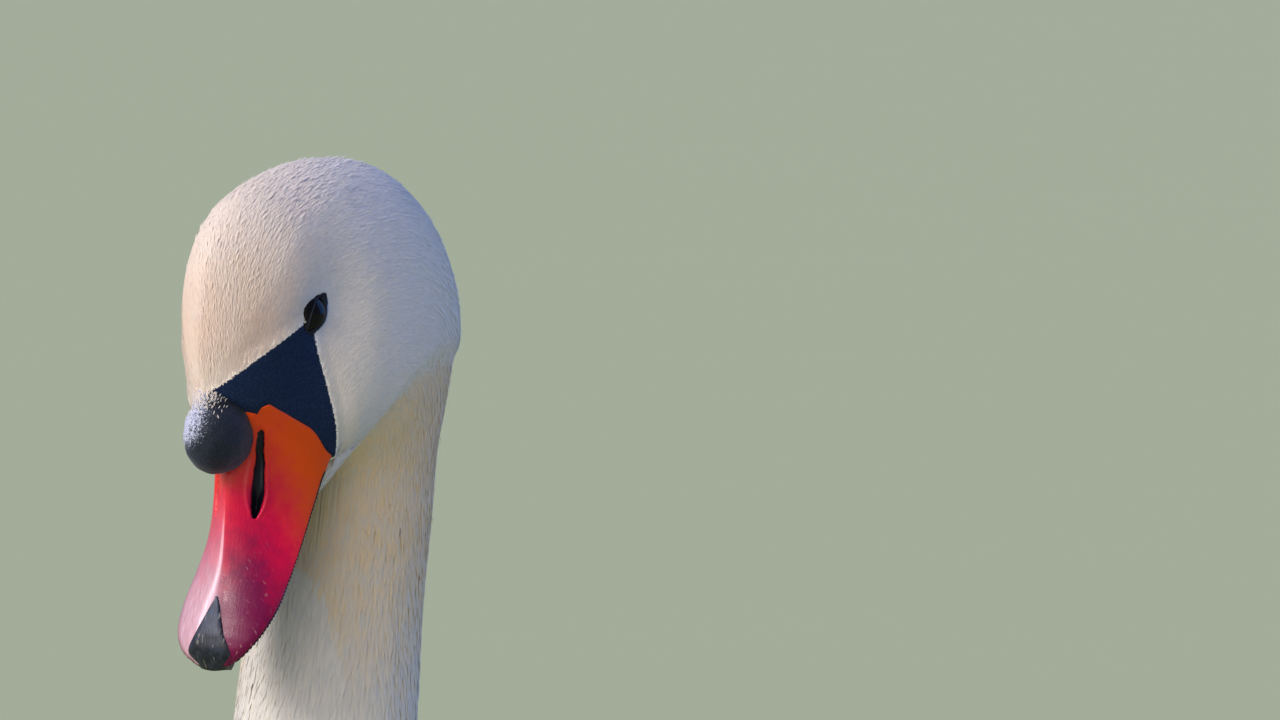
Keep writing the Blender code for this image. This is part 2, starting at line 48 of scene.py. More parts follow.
# ---- driving sizes, in metres --------------------------------------------------------------
SHIFT_Y = -0.13255            # how far along y the model's origin lies from where sizes count
EYE_Y, EYE_Z = -0.235 + SHIFT_Y, 1.030
PITCH = radians(62.5)         # the bill points this far below level
THROAT = (-0.0223, -0.0567)   # (ahead, above) of the eyes: where every head section meets
EYE_RADIUS, EYE_OUT = 0.0085, 0.0171
ALMOND = (0.0005, 0.0014, 0.0056, 0.0031)  # opening of the lids: forward, up, half its sides
BILL_TIP = 0.1160
FOOT_X, FOOT_Y, FOOT_TURN = 0.078, 0.064 + SHIFT_Y, radians(4)
SHANK_TOP, SHANK_FOOT, LEG_LEAN = 0.150, 0.0163, 0.036
WEB, CLAW = 0.0025, 0.016
UNDER = 0.0001                # the coat's roots lie this far below its own depth
HEAD_FLOOR = 0.95             # above this height the coat thins out round face and bill
NECK_TOP = 0.90               # above this height the hollows of the face count
PATCH = 0.003                 # each tuft's patch on the unwrap of its skin
TINY = 1e-12                  # keeps a division by a length away from nought

# Sections of trunk and neck from the rump to under the head: centre y, centre z, lean of the
# upper end toward the tail in degrees, reach up, reach down, half width, squareness above and
# below (2 is an ellipse).
TRUNK_AND_NECK = np.array([
    (0.3350, 0.372, 0, 0.030, 0.040, 0.0640, 2.0, 2.0),
    (0.2500, 0.362, 0, 0.072, 0.100, 0.1010, 2.0, 2.0),
    (0.1300, 0.347, 0, 0.122, 0.144, 0.1290, 2.1, 2.0),
    (0.0000, 0.338, 0, 0.155, 0.153, 0.1410, 2.2, 2.0),
    (-0.1000, 0.345, 10, 0.157, 0.157, 0.1370, 2.1, 2.0),
    (-0.1630, 0.378, 33, 0.128, 0.142, 0.1210, 2.0, 2.0),
    (-0.1950, 0.432, 57, 0.088, 0.112, 0.0960, 2.0, 2.0),
    (-0.2035, 0.495, 76, 0.063, 0.074, 0.0660, 2.0, 2.0),
    (-0.2090, 0.565, 87, 0.048, 0.053, 0.0490, 2.0, 2.0),
    (-0.2130, 0.645, 91, 0.041, 0.042, 0.0410, 2.0, 2.0),
    (-0.2100, 0.735, 93, 0.037, 0.037, 0.0365, 2.0, 2.0),
    (-0.2030, 0.820, 94, 0.034, 0.034, 0.0340, 2.0, 2.0),
    (-0.1945, 0.895, 95, 0.0328, 0.0325, 0.0326, 2.0, 2.0),
    (-0.1868, 0.937, 93, 0.0308, 0.0310, 0.0304, 2.0, 2.0),
])
# Midline of forehead, crown and nape as (ahead, above) of the eyes.
CROWN = np.array([
    (0.0298, -0.0340), (0.0338, -0.0250), (0.0358, -0.0120), (0.0358, 0.0), (0.0334, 0.0135),
    (0.0272, 0.0265), (0.0150, 0.0380), (-0.0020, 0.0457), (-0.0218, 0.0503),
    (-0.0440, 0.0521), (-0.0652, 0.0480), (-0.0836, 0.0366), (-0.0958, 0.0195),
    (-0.0992, -0.0010), (-0.0915, -0.0280), (-0.0862, -0.0567),
])
# Sections of the head by angle about the throat, 0 at the nape: distance from the throat to
# the inner edge and to the widest point, half width, squareness above and below.
HEAD = np.array([
    (0, 0.0032, 0.0340, 0.0302, 2.0, 2.0), (22, 0.0032, 0.0375, 0.0320, 2.0, 2.0),
    (45, 0.0032, 0.0430, 0.0358, 2.0, 2.0), (68, 0.0032, 0.0450, 0.0373, 2.0, 2.0),
    (90, 0.0032, 0.0400, 0.0362, 1.95, 2.1), (110, 0.0032, 0.0330, 0.0330, 1.9, 2.2),
    (130, 0.0032, 0.0250, 0.0265, 1.65, 2.3), (152.5, 0.0032, 0.0175, 0.0222, 1.5, 2.4),
])
HEAD_CUTS = (0, 14, 28, 42, 56, 70, 84, 98, 112, 124, 135, 144, 152.5)
# Spots of the face as forward, up, reach forward, reach up, and strength at the middle: the
# hollows (share of the width taken off) and the rust stain of the forehead, which is partly
# painted warm light.
HOLLOWS = ((0.000, -0.001, 0.019, 0.013, 0.185), (0.021, -0.009, 0.017, 0.014, 0.08))
RUST_AND_PAINTED_LIGHT = ((0.020, 0.024, 0.026, 0.026, 1.0), (-0.030, 0.030, 0.040, 0.035, 0.35))
GREY = ((0.0, 0.001, 0.012, 0.008, 1.0),)
BROW = ((0.002, 0.0125, 0.016, 0.006, 0.040),)
# Jaw line round the throat: its angle at the reach named next, degrees for each metre
# inwards, the reaches where it stops turning, and half the width of its step in degrees.
JAW_ANGLE, JAW_REACH, JAW_TURN, JAW_SPAN, JAW_STEP = 46, 0.059, 820, (0.018, 0.075), 5
# Share by which the cheek stands out there, the middle and the reach of that along the head,
# and the share by which the neck draws in below the line.
CHEEK_OUT, CHEEK_MIDDLE, CHEEK_REACH, NECK_IN = 0.034, -0.004, 0.055, 0.052
# Upper bill by distance forward: height of its edge, rise to the ridge, half width,
# squareness of the ridge.
UPPER_BILL = np.array([
    (0.0300, -0.0285, 0.0320, 0.0222, 1.45), (0.0400, -0.0308, 0.0320, 0.0216, 1.4),
    (0.0480, -0.0325, 0.0280, 0.0203, 1.35), (0.0580, -0.0332, 0.0247, 0.0194, 1.3),
    (0.0700, -0.0335, 0.0198, 0.0188, 1.35), (0.0830, -0.0324, 0.0137, 0.0188, 1.6),
    (0.0950, -0.0306, 0.0092, 0.0186, 1.85), (0.1030, -0.0290, 0.0068, 0.0172, 1.95),
    (0.1090, -0.0283, 0.0053, 0.0146, 2.0), (0.1135, -0.0288, 0.0040, 0.0105, 2.0),
    (0.1160, -0.0298, 0.0020, 0.0062, 2.0),
])
# Lower bill by distance forward: its depth below the edge and half width.
LOWER_BILL = np.array([
    (0.0300, 0.0135, 0.0180), (0.0406, 0.0130, 0.0176), (0.0480, 0.0118, 0.0160),
    (0.0580, 0.0085, 0.0148), (0.0720, 0.0062, 0.0142), (0.0880, 0.0048, 0.0142),
    (0.1000, 0.0038, 0.0128), (0.1085, 0.0026, 0.0080),
])
# Nail by distance forward: half width.
NAIL = np.array([
    (0.0945, 0.0004), (0.0980, 0.0020), (0.1030, 0.0038), (0.1075, 0.0056), (0.1110, 0.0076),
    (0.1140, 0.0084), (0.1160, 0.0058),
])
# Nostril by distance forward: up and half width of its slot.
NOSTRIL = np.array([
    (0.0402, -0.0034, 0.0008), (0.0420, -0.0052, 0.0012), (0.0440, -0.0078, 0.0013),
    (0.0464, -0.0104, 0.0014), (0.0524, -0.0136, 0.0018), (0.0580, -0.0159, 0.0021),
    (0.0631, -0.0177, 0.0015), (0.0668, -0.0188, 0.0005),
])
# Feathered wedge of the chin: forward, up, half height, half width.
CHIN = np.array([
    (0.0020, -0.0455, 0.0080, 0.0255), (0.0120, -0.0440, 0.0100, 0.0262),
    (0.0210, -0.0415, 0.0100, 0.0256), (0.0310, -0.0380, 0.0088, 0.0240),
    (0.0400, -0.0370, 0.0068, 0.0205), (0.0460, -0.0380, 0.0048, 0.0168),
    (0.0497, -0.0398, 0.0020, 0.0125),
])
# Tail: y, z, half thickness, half width.
TAIL = np.array([
    (0.3253, 0.3658, 0.0270, 0.0600), (0.3650, 0.3615, 0.0175, 0.0670),
    (0.4100, 0.3560, 0.0115, 0.0690), (0.4600, 0.3500, 0.0085, 0.0600),
    (0.5100, 0.3440, 0.0060, 0.0410), (0.5400, 0.3400, 0.0045, 0.0230),
    (0.5550, 0.3380, 0.0030, 0.0090),
])
# Folded wing by place along the trunk: upper and lower edge as angles round the section, and
# thickness.
WING = np.array([
    (-0.178, 64, 98, 0.003), (-0.160, 49, 110, 0.008), (-0.120, 36, 119, 0.016),
    (-0.060, 24, 123, 0.022), (0.020, 15, 121, 0.026), (0.100, 9, 115, 0.028),
    (0.180, 6, 107, 0.027), (0.250, 4.5, 98, 0.023), (0.300, 4, 90, 0.018),
    (0.335, 4, 84, 0.0145), (0.390, 4.5, 76, 0.010), (0.440, 6, 70, 0.006),
    (0.470, 12, 60, 0.003),
])
# What the wing tips lie on behind the trunk: y, z, reach up, half width.
RUMP = np.array([
    (0.3350, 0.3720, 0.0300, 0.0640), (0.3600, 0.3730, 0.0260, 0.0560),
    (0.3900, 0.3740, 0.0200, 0.0450), (0.4200, 0.3750, 0.0140, 0.0330),
    (0.4500, 0.3760, 0.0090, 0.0200), (0.4700, 0.3765, 0.0060, 0.0110),
])
# Thigh from the hock up: z, x, y behind the foot joint, half width, half length.
THIGH = np.array([
    (0.1600, 0.078, 0.0362, 0.0140, 0.0165), (0.1700, 0.078, 0.035, 0.0175, 0.023),
    (0.1900, 0.078, 0.031, 0.027, 0.038), (0.2200, 0.076, 0.026, 0.038, 0.054),
    (0.2600, 0.072, 0.022, 0.044, 0.060), (0.3000, 0.068, 0.020, 0.034, 0.046),
])
# Shank by height: half width, half length.
SHANK = np.array([
    (SHANK_FOOT, 0.0095, 0.0095), (0.028, 0.0105, 0.0110), (0.045, 0.0080, 0.0095),
    (0.080, 0.0070, 0.0088), (0.125, 0.0078, 0.0098), (0.142, 0.0112, 0.0130),
    (0.152, 0.0128, 0.0150), (0.166, 0.0110, 0.0130),
])
# Toes of the left foot: degrees out from straight ahead, length, height at the root.
TOES = ((-27, 0.098, 0.0115), (-1, 0.134, 0.0130), (26, 0.124, 0.0120))
# Edges of the bare black face, up for each place forward: start, base, and slope and curve
# beyond the start. On the bird's right the upper edge lies lower by the drop named last.
LORE_TOP = (0.0048, 0.0037, 0.70, -8.5)
LORE_BACK = (0.0050, 0.0002, -0.70, -8.8)
LORE_START, LORE_END, LORE_DROP = 0.0046, 0.0440, 0.0125


# ---- curves --------------------------------------------------------------------------------
def smooth(x: Array, at: Array, values: Array) -> Array:
    """Smooth curve through values: cubic pieces whose slopes are means of their neighbours'.

    Args:
        x: places to read.
        at: rising places of the given values.
        values: one row for each place.

    Returns:
        One row for each x.
    """
    at, values = np.asarray(at, float), np.asarray(values, float).reshape(len(at), -1)
    step = np.diff(at)[:, None]
    rise = np.diff(values, axis=0) / step
    middle = (rise[:-1] * step[1:] + rise[1:] * step[:-1]) / (step[1:] + step[:-1])
    slope = np.vstack([rise[:1], middle, rise[-1:]])
    x = np.atleast_1d(np.asarray(x, float))
    i = np.clip(np.searchsorted(at, x, side="right") - 1, 0, len(at) - 2)
    t = ((x - at[i]) / (at[i + 1] - at[i]))[:, None]
    stay, leave, arrive = 2 * t**3 - 3 * t**2 + 1, t**3 - 2 * t**2 + t, t**3 - t**2
    bends = leave * step[i] * slope[i] + arrive * step[i] * slope[i + 1]
    return stay * values[i] + (1 - stay) * values[i + 1] + bends


def along_table(x: Array, table: Array) -> Array:
    """Smooth curves through a table's columns, read where its first column is x.

    Args:
        x: places to read, of any shape.
        table: rows of place and values, by rising place.

    Returns:
        One array of x's shape for each value.
    """
    return smooth(np.ravel(x), table[:, 0], table[:, 1:]).T.reshape(-1, *np.shape(x))


def ease(x: Array, low: float, high: float) -> Array:
    """Smooth step from 0 at low to 1 at high: 3t squared less 2t cubed."""
    t = np.clip((np.asarray(x, float) - low) / (high - low), 0, 1)
    return t * t * (3 - 2 * t)


def bell(*terms: Array) -> Array:
    """Bell of offsets, each already divided by its reach: e to the minus sum of squares."""
    return np.exp(-sum(term**2 for term in terms))


def spots(forward: Array, up: Array, table: tuple[tuple[float, ...], ...]) -> Array:
    """Sum of the table's bells at places of the head: each strength times its bell."""
    return sum(share * bell((forward - f) / reach_f, (up - u) / reach_u)
               for f, u, reach_f, reach_u, share in table)


def unit(vectors: Array) -> Array:
    """The same directions, each of length 1."""
    return vectors / np.maximum(np.linalg.norm(vectors, axis=-1, keepdims=True), TINY)


def full_turn(count: int) -> Array:
    """Angles once round, as one row."""
    return np.linspace(0, 2 * pi, count, endpoint=False)[None, :]


def from_head(forward: Array, up: Array) -> tuple[Array, Array]:
    """Turns forward along the bill and up from it, measured from the eyes, into y and z."""
    return (EYE_Y - forward * cos(PITCH) - up * sin(PITCH),
            EYE_Z - forward * sin(PITCH) + up * cos(PITCH))


def to_head(points: Array) -> tuple[Array, Array]:
    """Forward along the bill and up from it, of places given as x, y and z."""
    ahead, above = EYE_Y - points[..., 1], points[..., 2] - EYE_Z
    return ahead * cos(PITCH) - above * sin(PITCH), ahead * sin(PITCH) + above * cos(PITCH)


def about_throat(y: Array, z: Array) -> tuple[Array, Array]:
    """Angle about the throat in degrees, 0 at the nape, and distance from the throat."""
    ahead, above = EYE_Y - y - THROAT[0], z - EYE_Z - THROAT[1]
    return np.degrees(np.arctan2(above, -ahead)), np.hypot(ahead, above)


def crown_reach(angles: Array) -> Array:
    """Distance from the throat to the midline of the crown at angles about the throat."""
    off = CROWN - np.array(THROAT)
    turned = np.degrees(np.arctan2(off[:, 1], -off[:, 0]))
    order = np.argsort(turned)
    return smooth(angles, turned[order], np.hypot(*off.T)[order])[:, 0]


def head_sections(angles: Array) -> Array:
    """Sections of the head at angles about the throat, in the columns of TRUNK_AND_NECK."""
    inner, widest, width, above, below = along_table(angles, HEAD)
    y = EYE_Y - THROAT[0] + widest * np.cos(np.radians(angles))
    z = EYE_Z + THROAT[1] + widest * np.sin(np.radians(angles))
    reach_up, reach_down = crown_reach(angles) - widest, widest - inner
    return np.stack([y, z, 90 - angles, reach_up, reach_down, width, above, below], axis=1)


def whole_tube() -> tuple[Array, Array]:
    """Sections of trunk, neck and head, and the distance along the tube of each.

    A distance is the way between the middles of two sections, plus a little for each degree
    that they turn, so that no two sections fall together where the head turns on the throat.

    Returns:
        The sections, in the columns of TRUNK_AND_NECK, and their distances.
    """
    way_for_a_degree = 0.0004
    body = TRUNK_AND_NECK.copy()
    body[:, 0] += SHIFT_Y
    tube = np.vstack([body, head_sections(np.array(HEAD_CUTS))])
    turned = way_for_a_degree * np.abs(np.diff(tube[:, 2]))
    steps = np.hypot(*np.diff(tube[:, :2], axis=0).T) + turned
    return tube, np.concatenate([[0], np.cumsum(steps)])


TUBE, ALONG = whole_tube()
NECK_END = len(TRUNK_AND_NECK) - 1
TRUNK_Y = slice(0, 6)  # the stretch where y alone tells the place


def half_width(forward: Array, up: Array) -> Array:
    """Half the head's width at a place of its side view, from the section through it."""
    angle, far = about_throat(*from_head(forward, up))
    angle = np.clip(angle, 0, HEAD[-1, 0])
    inner, widest, width, top, low = along_table(angle, HEAD)
    crown = crown_reach(angle.ravel()).reshape(np.shape(far))
    reach = np.where(far >= widest, crown - widest, widest - inner)
    power = np.where(far >= widest, top, low)
    share = np.clip(np.abs(far - widest) / reach, 0, 1)
    return width * (1 - share**power) ** (1 / power) * face_width(forward, up)


def face_width(forward: Array, up: Array) -> Array:
    """Share of its width that the head keeps, after the hollows round eye and cheek."""
    kept = np.ones(np.shape(forward))
    for hollow in HOLLOWS:
        kept = kept * (1 - spots(forward, up, (hollow,)))
    return kept


def ring(sections: Array, around: Array, outward: Array | float = 0.0) -> Array:
    """Points of each section, a squared ellipse, at angles round it from its upper end.

    Args:
        sections: rows in the columns of TRUNK_AND_NECK.
        around: angles, shape (1 or rows, points).
        outward: growth of every radius.

    Returns:
        Points, shape (rows, points, 3).
    """
    c, s = np.cos(around), np.sin(around)
    y, z, lean, up, down, width, above, below = sections.T[:, :, None]
    power = np.where(c >= 0, 2 / above, 2 / below)
    reach = np.where(c >= 0, up + outward, down + outward) * np.sign(c) * np.abs(c) ** power
    x = (width + outward) * np.sign(s) * np.abs(s) ** power
    lean = np.radians(lean)
    return np.stack([x, y + reach * np.sin(lean), z + reach * np.cos(lean)], axis=-1)


# ---- markings, the same for skin and coat --------------------------------------------------
def lore_edge(forward: Array, edge: tuple[float, ...]) -> Array:
    """Height of an edge of the black face: a base, plus slope and curve past its start."""
    start, base, slope, curve = edge
    past = forward - start
    return base + slope * past + curve * past**2


def into_lore(points: Array) -> Array:
    """How far inside the bare black face a place lies, in metres; negative outside it."""
    forward, up = to_head(points)
    drop = LORE_DROP * ease(-points[..., 0], -0.001, 0.005) * ease(forward, 0.016, 0.028)
    brow = lore_edge(forward, LORE_TOP) - drop
    inside = np.minimum(brow - up, up - lore_edge(forward, LORE_BACK))
    return np.minimum(inside, np.minimum(forward - LORE_START, LORE_END - forward))


def lore(points: Array, soft: float) -> Array:
    """How far a place belongs to the bare black face, 0 to 1, over a soft edge."""
    return ease(into_lore(points), -soft, soft)


def room(points: Array) -> Array:
    """Room for the coat: 0 at the edge of the black face and 1 from 6 mm outside it, and 1
    everywhere below the head."""
    return np.where(points[..., 2] > HEAD_FLOOR, ease(-into_lore(points), -0.0003, 0.0060), 1)


def lid_reach(forward: Array, up: Array, wide: float = 0.0, tall: Array | float = 0.0) -> Array:
    """Distance from the middle of the lids' opening as a share of its size, grown a little."""
    f, u, reach_f, reach_u = ALMOND
    return np.hypot((forward - f) / (reach_f + wide), (up - u) / (reach_u + tall))


def markings(points: Array) -> Array:
    """Colours of the plumage: rust on the forehead, a stain that is partly painted warm light,
    cream under the cheeks and faintly down the neck, and a bluish grey round the eye.

    Args:
        points: places, shape (..., 3).

    Returns:
        Rust, cream and grey, each 0 to 1, shape (..., 3).
    """
    x, y, z = np.moveaxis(points, -1, 0)
    forward, up = to_head(points)
    cream = (1 - jaw_side(y, z)) * ease(z, 0.86, 0.97) * (z < EYE_Z)
    cream = np.maximum(cream * ease(-y, 0.25, 0.31), 0.25 * ease(z, 0.60, 0.9))
    grey = spots(forward, up, GREY) * (np.abs(x) > 0.012)
    return np.clip(np.stack([spots(forward, up, RUST_AND_PAINTED_LIGHT), cream, grey], axis=-1), 0, 1)


def jaw_side(y: Array, z: Array) -> Array:
    """1 on the head's side of the jaw line, from chin to nape, and 0 on the neck's."""
    angle, far = about_throat(y, z)
    line = JAW_ANGLE + (JAW_REACH - np.clip(far, *JAW_SPAN)) * JAW_TURN
    angle = np.where(angle < -90, angle + 360, angle)
    return ease(angle, line - JAW_STEP, line + JAW_STEP)


def relief(points: Array) -> Array:
    """Sideways relief of the head: the cheek stands out over the neck along the jaw line, and
    a brow over the eye."""
    x, y, z = np.moveaxis(points, -1, 0)
    forward, up = to_head(points)
    side = jaw_side(y, z)
    cheek = CHEEK_OUT * side * bell((forward - CHEEK_MIDDLE) / CHEEK_REACH)
    share = 1 + ease(z, 0.955, 0.985) * (cheek - NECK_IN * (1 - side))
    out = points.copy()
    out[..., 0] = x * (share + spots(forward, up, BROW))
    return out


def body_surface(along: Array, around: Array, depth: Array | float = 0.0) -> Array:
    """Trunk, neck and head as one tube: smooth sections, hollowed at the face, with the relief
    of jaw and brow.

    Args:
        along: distances from the rump, shape (rows,).
        around: angles round each section, shape (1 or rows, points).
        depth: how far under the coat's outside the surface lies.

    Returns:
        Points, shape (rows, points, 3).
    """
    points = ring(smooth(along, ALONG, TUBE), around, -np.asarray(depth))
    points[..., 0] *= np.where(points[..., 2] > NECK_TOP, face_width(*to_head(points)), 1)
    return relief(points)


def coat_depth(along: Array) -> Array:
    """Depth of the coat along the tube: 10 mm on the trunk, falling up the neck to 1.1."""
    sections = [0, 5, 8, 12, NECK_END + 1, NECK_END + 4, -1]
    depths = [0.010, 0.010, 0.0045, 0.0026, 0.0018, 0.0014, 0.0011]
    return np.interp(along, ALONG[sections], depths)


def thigh_surface(depth: float) -> Array:
    """Left thigh as level ellipses through the table's sections, under the coat's depth."""
    z, turn = np.linspace(THIGH[0, 0], THIGH[-1, 0], 40)[:, None], full_turn(56)
    x, y, width, length = along_table(z, THIGH)
    x, y = x + (width - depth) * np.cos(turn), FOOT_Y + y + (length - depth) * np.sin(turn)
    return np.stack([x, y, z + 0 * turn], axis=-1)


def chin_surface(depth: float) -> Array:
    """Chin as squared ellipses from the throat forward, ending in a point by the lower bill."""
    turn, places = full_turn(64), np.linspace(CHIN[0, 0], CHIN[-1, 0], 44)[:, None]
    middle, tall, wide = along_table(places, CHIN)
    c, s = np.cos(turn), np.sin(turn)
    up = middle + (tall - depth) * np.sign(s) * np.abs(s) ** 0.8
    x = (wide - depth) * np.sign(c) * np.abs(c) ** 0.8
    return np.stack([x, *from_head(places + 0 * up, up)], axis=-1)


# ---- meshes --------------------------------------------------------------------------------
def grid_faces(rows: int, cols: int, closed: bool, caps: bool = False) -> list[Array]:
    """Faces of a grid of points in rows.

    Args:
        rows: number of rows.
        cols: points in a row.
        closed: whether each row runs into a loop.
        caps: whether two points after the grid close its ends as fans.

    Returns:
        The quads, and the triangles of the caps.
    """
    r = np.arange(rows - 1)[:, None] * cols
    k = np.arange(cols if closed else cols - 1)[None, :]
    nxt = (k + 1) % cols
    quads = np.stack([r + k, r + nxt, r + cols + nxt, r + cols + k], axis=-1).reshape(-1, 4)
    if not caps:
        return [quads]
    first, last, top = rows * cols, rows * cols + 1, (rows - 1) * cols
    k, nxt = k[0], nxt[0]
    low = np.stack([np.full(cols, first), nxt, k], axis=-1)
    high = np.stack([np.full(cols, last), top + k, top + nxt], axis=-1)
    return [quads, np.concatenate([low, high])]


def facing_out(points: Array, faces: list[Array]) -> list[Array]:
    """The same faces, all turned round where they enclose less than nothing.

    Each quad's two triangles with the points' middle hold a part of the volume, a third of a
    triple product, whose sign tells which way they face.
    """
    a, b, c, d = (points[faces[0][:, k]] - points.mean(axis=0) for k in range(4))
    volume = np.einsum("ij,ij->i", a, np.cross(b, c) + np.cross(c, d)).sum()
    return [block[:, ::-1] if volume < 0 else block for block in faces]


def closed_tube(rows: Array) -> tuple[Array, list[Array]]:
    """A closed shell from rows of looping points, its ends closed by fans about their means."""
    ends = rows[:1].mean(axis=1), rows[-1:].mean(axis=1)
    flat = np.concatenate([rows.reshape(-1, 3), *ends])
    return flat, facing_out(flat, grid_faces(*rows.shape[:2], True, True))


@dataclass
class Fabric:
    """Vertices and faces of one piece while it is put together, and what they carry."""

    points: list[Array] = field(default_factory=list)
    loops: list[Array] = field(default_factory=list)
    sizes: list[Array] = field(default_factory=list)
    normals: list[Array] = field(default_factory=list)
    carried: dict[str, list[Array]] = field(default_factory=dict)
    unwrap: list[Array] = field(default_factory=list)
    count: int = 0

    def add(self, points: Array, faces: list[Array], normals: Array | None = None,
            unwrap: Array | None = None, **carried: Array) -> "Fabric":
        """Adds one patch of surface.

        Args:
            points: places, shape (n, 3).
            faces: arrays of corner numbers, one for each number of corners.
            normals: shading normals, shape (n, 3).
            unwrap: place of every point on the unwrap, shape (n, 2).
            carried: vectors carried by the points, shape (n, 3) each.

        Returns:
            This piece.
        """
        for block in faces:
            if len(block):
                self.loops.append((block + self.count).ravel())
                self.sizes.append(np.full(len(block), block.shape[1]))
        self.points.append(points)
        self.count += len(points)
        if normals is not None:
            self.normals.append(normals)
        if unwrap is not None:
            self.unwrap.append(unwrap)
        for name, values in carried.items():
            self.carried.setdefault(name, []).append(values)
        return self

    def shell(self, rows: Array, bare: Array | float = 0.0,
              tone: Callable[[Array], Array] | None = None) -> "Fabric":
        """Adds one closed shell from rows of looping points.

        Args:
            rows: places, shape (rows, points, 3).
            bare: what its bare parts carry, of shape (rows, points, 3), or the first of the
                three alone.
            tone: the markings of places, where the shell carries them.

        Returns:
            This piece.
        """
        flat, faces = closed_tube(rows)
        values = np.zeros((*rows.shape[:2], 3))
        if np.ndim(bare) == 3:
            values[:] = bare
        else:
            values[..., 0] = bare
        carried = {} if tone is None else {"tone": tone(flat)}
        bare = np.concatenate([values.reshape(-1, 3), np.zeros((2, 3))])
        return self.add(flat, faces, bare=bare, **carried)

    def mirrored(self) -> "Fabric":
        """The piece for the bird's other side: x changes sign and every face turns round."""
        flip = np.array([-1.0, 1, 1])
        loops = [block.reshape(-1, sizes[0])[:, ::-1].ravel()
                 for block, sizes in zip(self.loops, self.sizes)]
        points, normals = [p * flip for p in self.points], [n * flip for n in self.normals]
        return Fabric(points, loops, self.sizes, normals, self.carried, self.unwrap, self.count)

    def made(self, name: str, finish: "Finish", slot: "Slot", *nodes: str) -> None:
        """Makes the piece as an object at the origin, and settles it.

        Args:
            name: the object's name.
            finish: what it is dressed in.
            slot: the material slot that it stands for; not used.
            nodes: the solids that it replaces.
        """
        mesh = bpy.data.meshes.new(name)
        points, loops, sizes = map(np.concatenate, (self.points, self.loops, self.sizes))
        starts = np.concatenate([[0], np.cumsum(sizes)[:-1]])
        mesh.vertices.add(len(points))
        mesh.vertices.foreach_set("co", points.astype(np.float32).ravel())
        mesh.loops.add(len(loops))
        mesh.loops.foreach_set("vertex_index", loops.astype(np.int32))
        mesh.polygons.add(len(sizes))
        mesh.polygons.foreach_set("loop_start", starts.astype(np.int32))
        mesh.update(calc_edges=True)
        mesh.polygons.foreach_set("use_smooth", np.ones(len(sizes), bool))
        for key, values in self.carried.items():
            layer = mesh.attributes.new(key, "FLOAT_VECTOR", "POINT")
            vectors = np.concatenate(values).astype(np.float32)
            layer.data.foreach_set("vector", vectors.ravel())
        if self.unwrap:
            places = np.concatenate(self.unwrap)[loops].astype(np.float32)
            mesh.uv_layers.new(name="OFBake").uv.foreach_set("vector", places.ravel())
        if self.normals:
            normals = np.concatenate(self.normals).astype(np.float32)
            mesh.normals_split_custom_set_from_vertices(normals)
        item = bpy.data.objects.new(name, mesh)
        mesh.materials.append(finish.material())
        bpy.context.scene.collection.objects.link(item)
        LOG.info("%s: %d triangles", name, int((sizes - 2).sum()))
        settle(item, slot, *nodes)


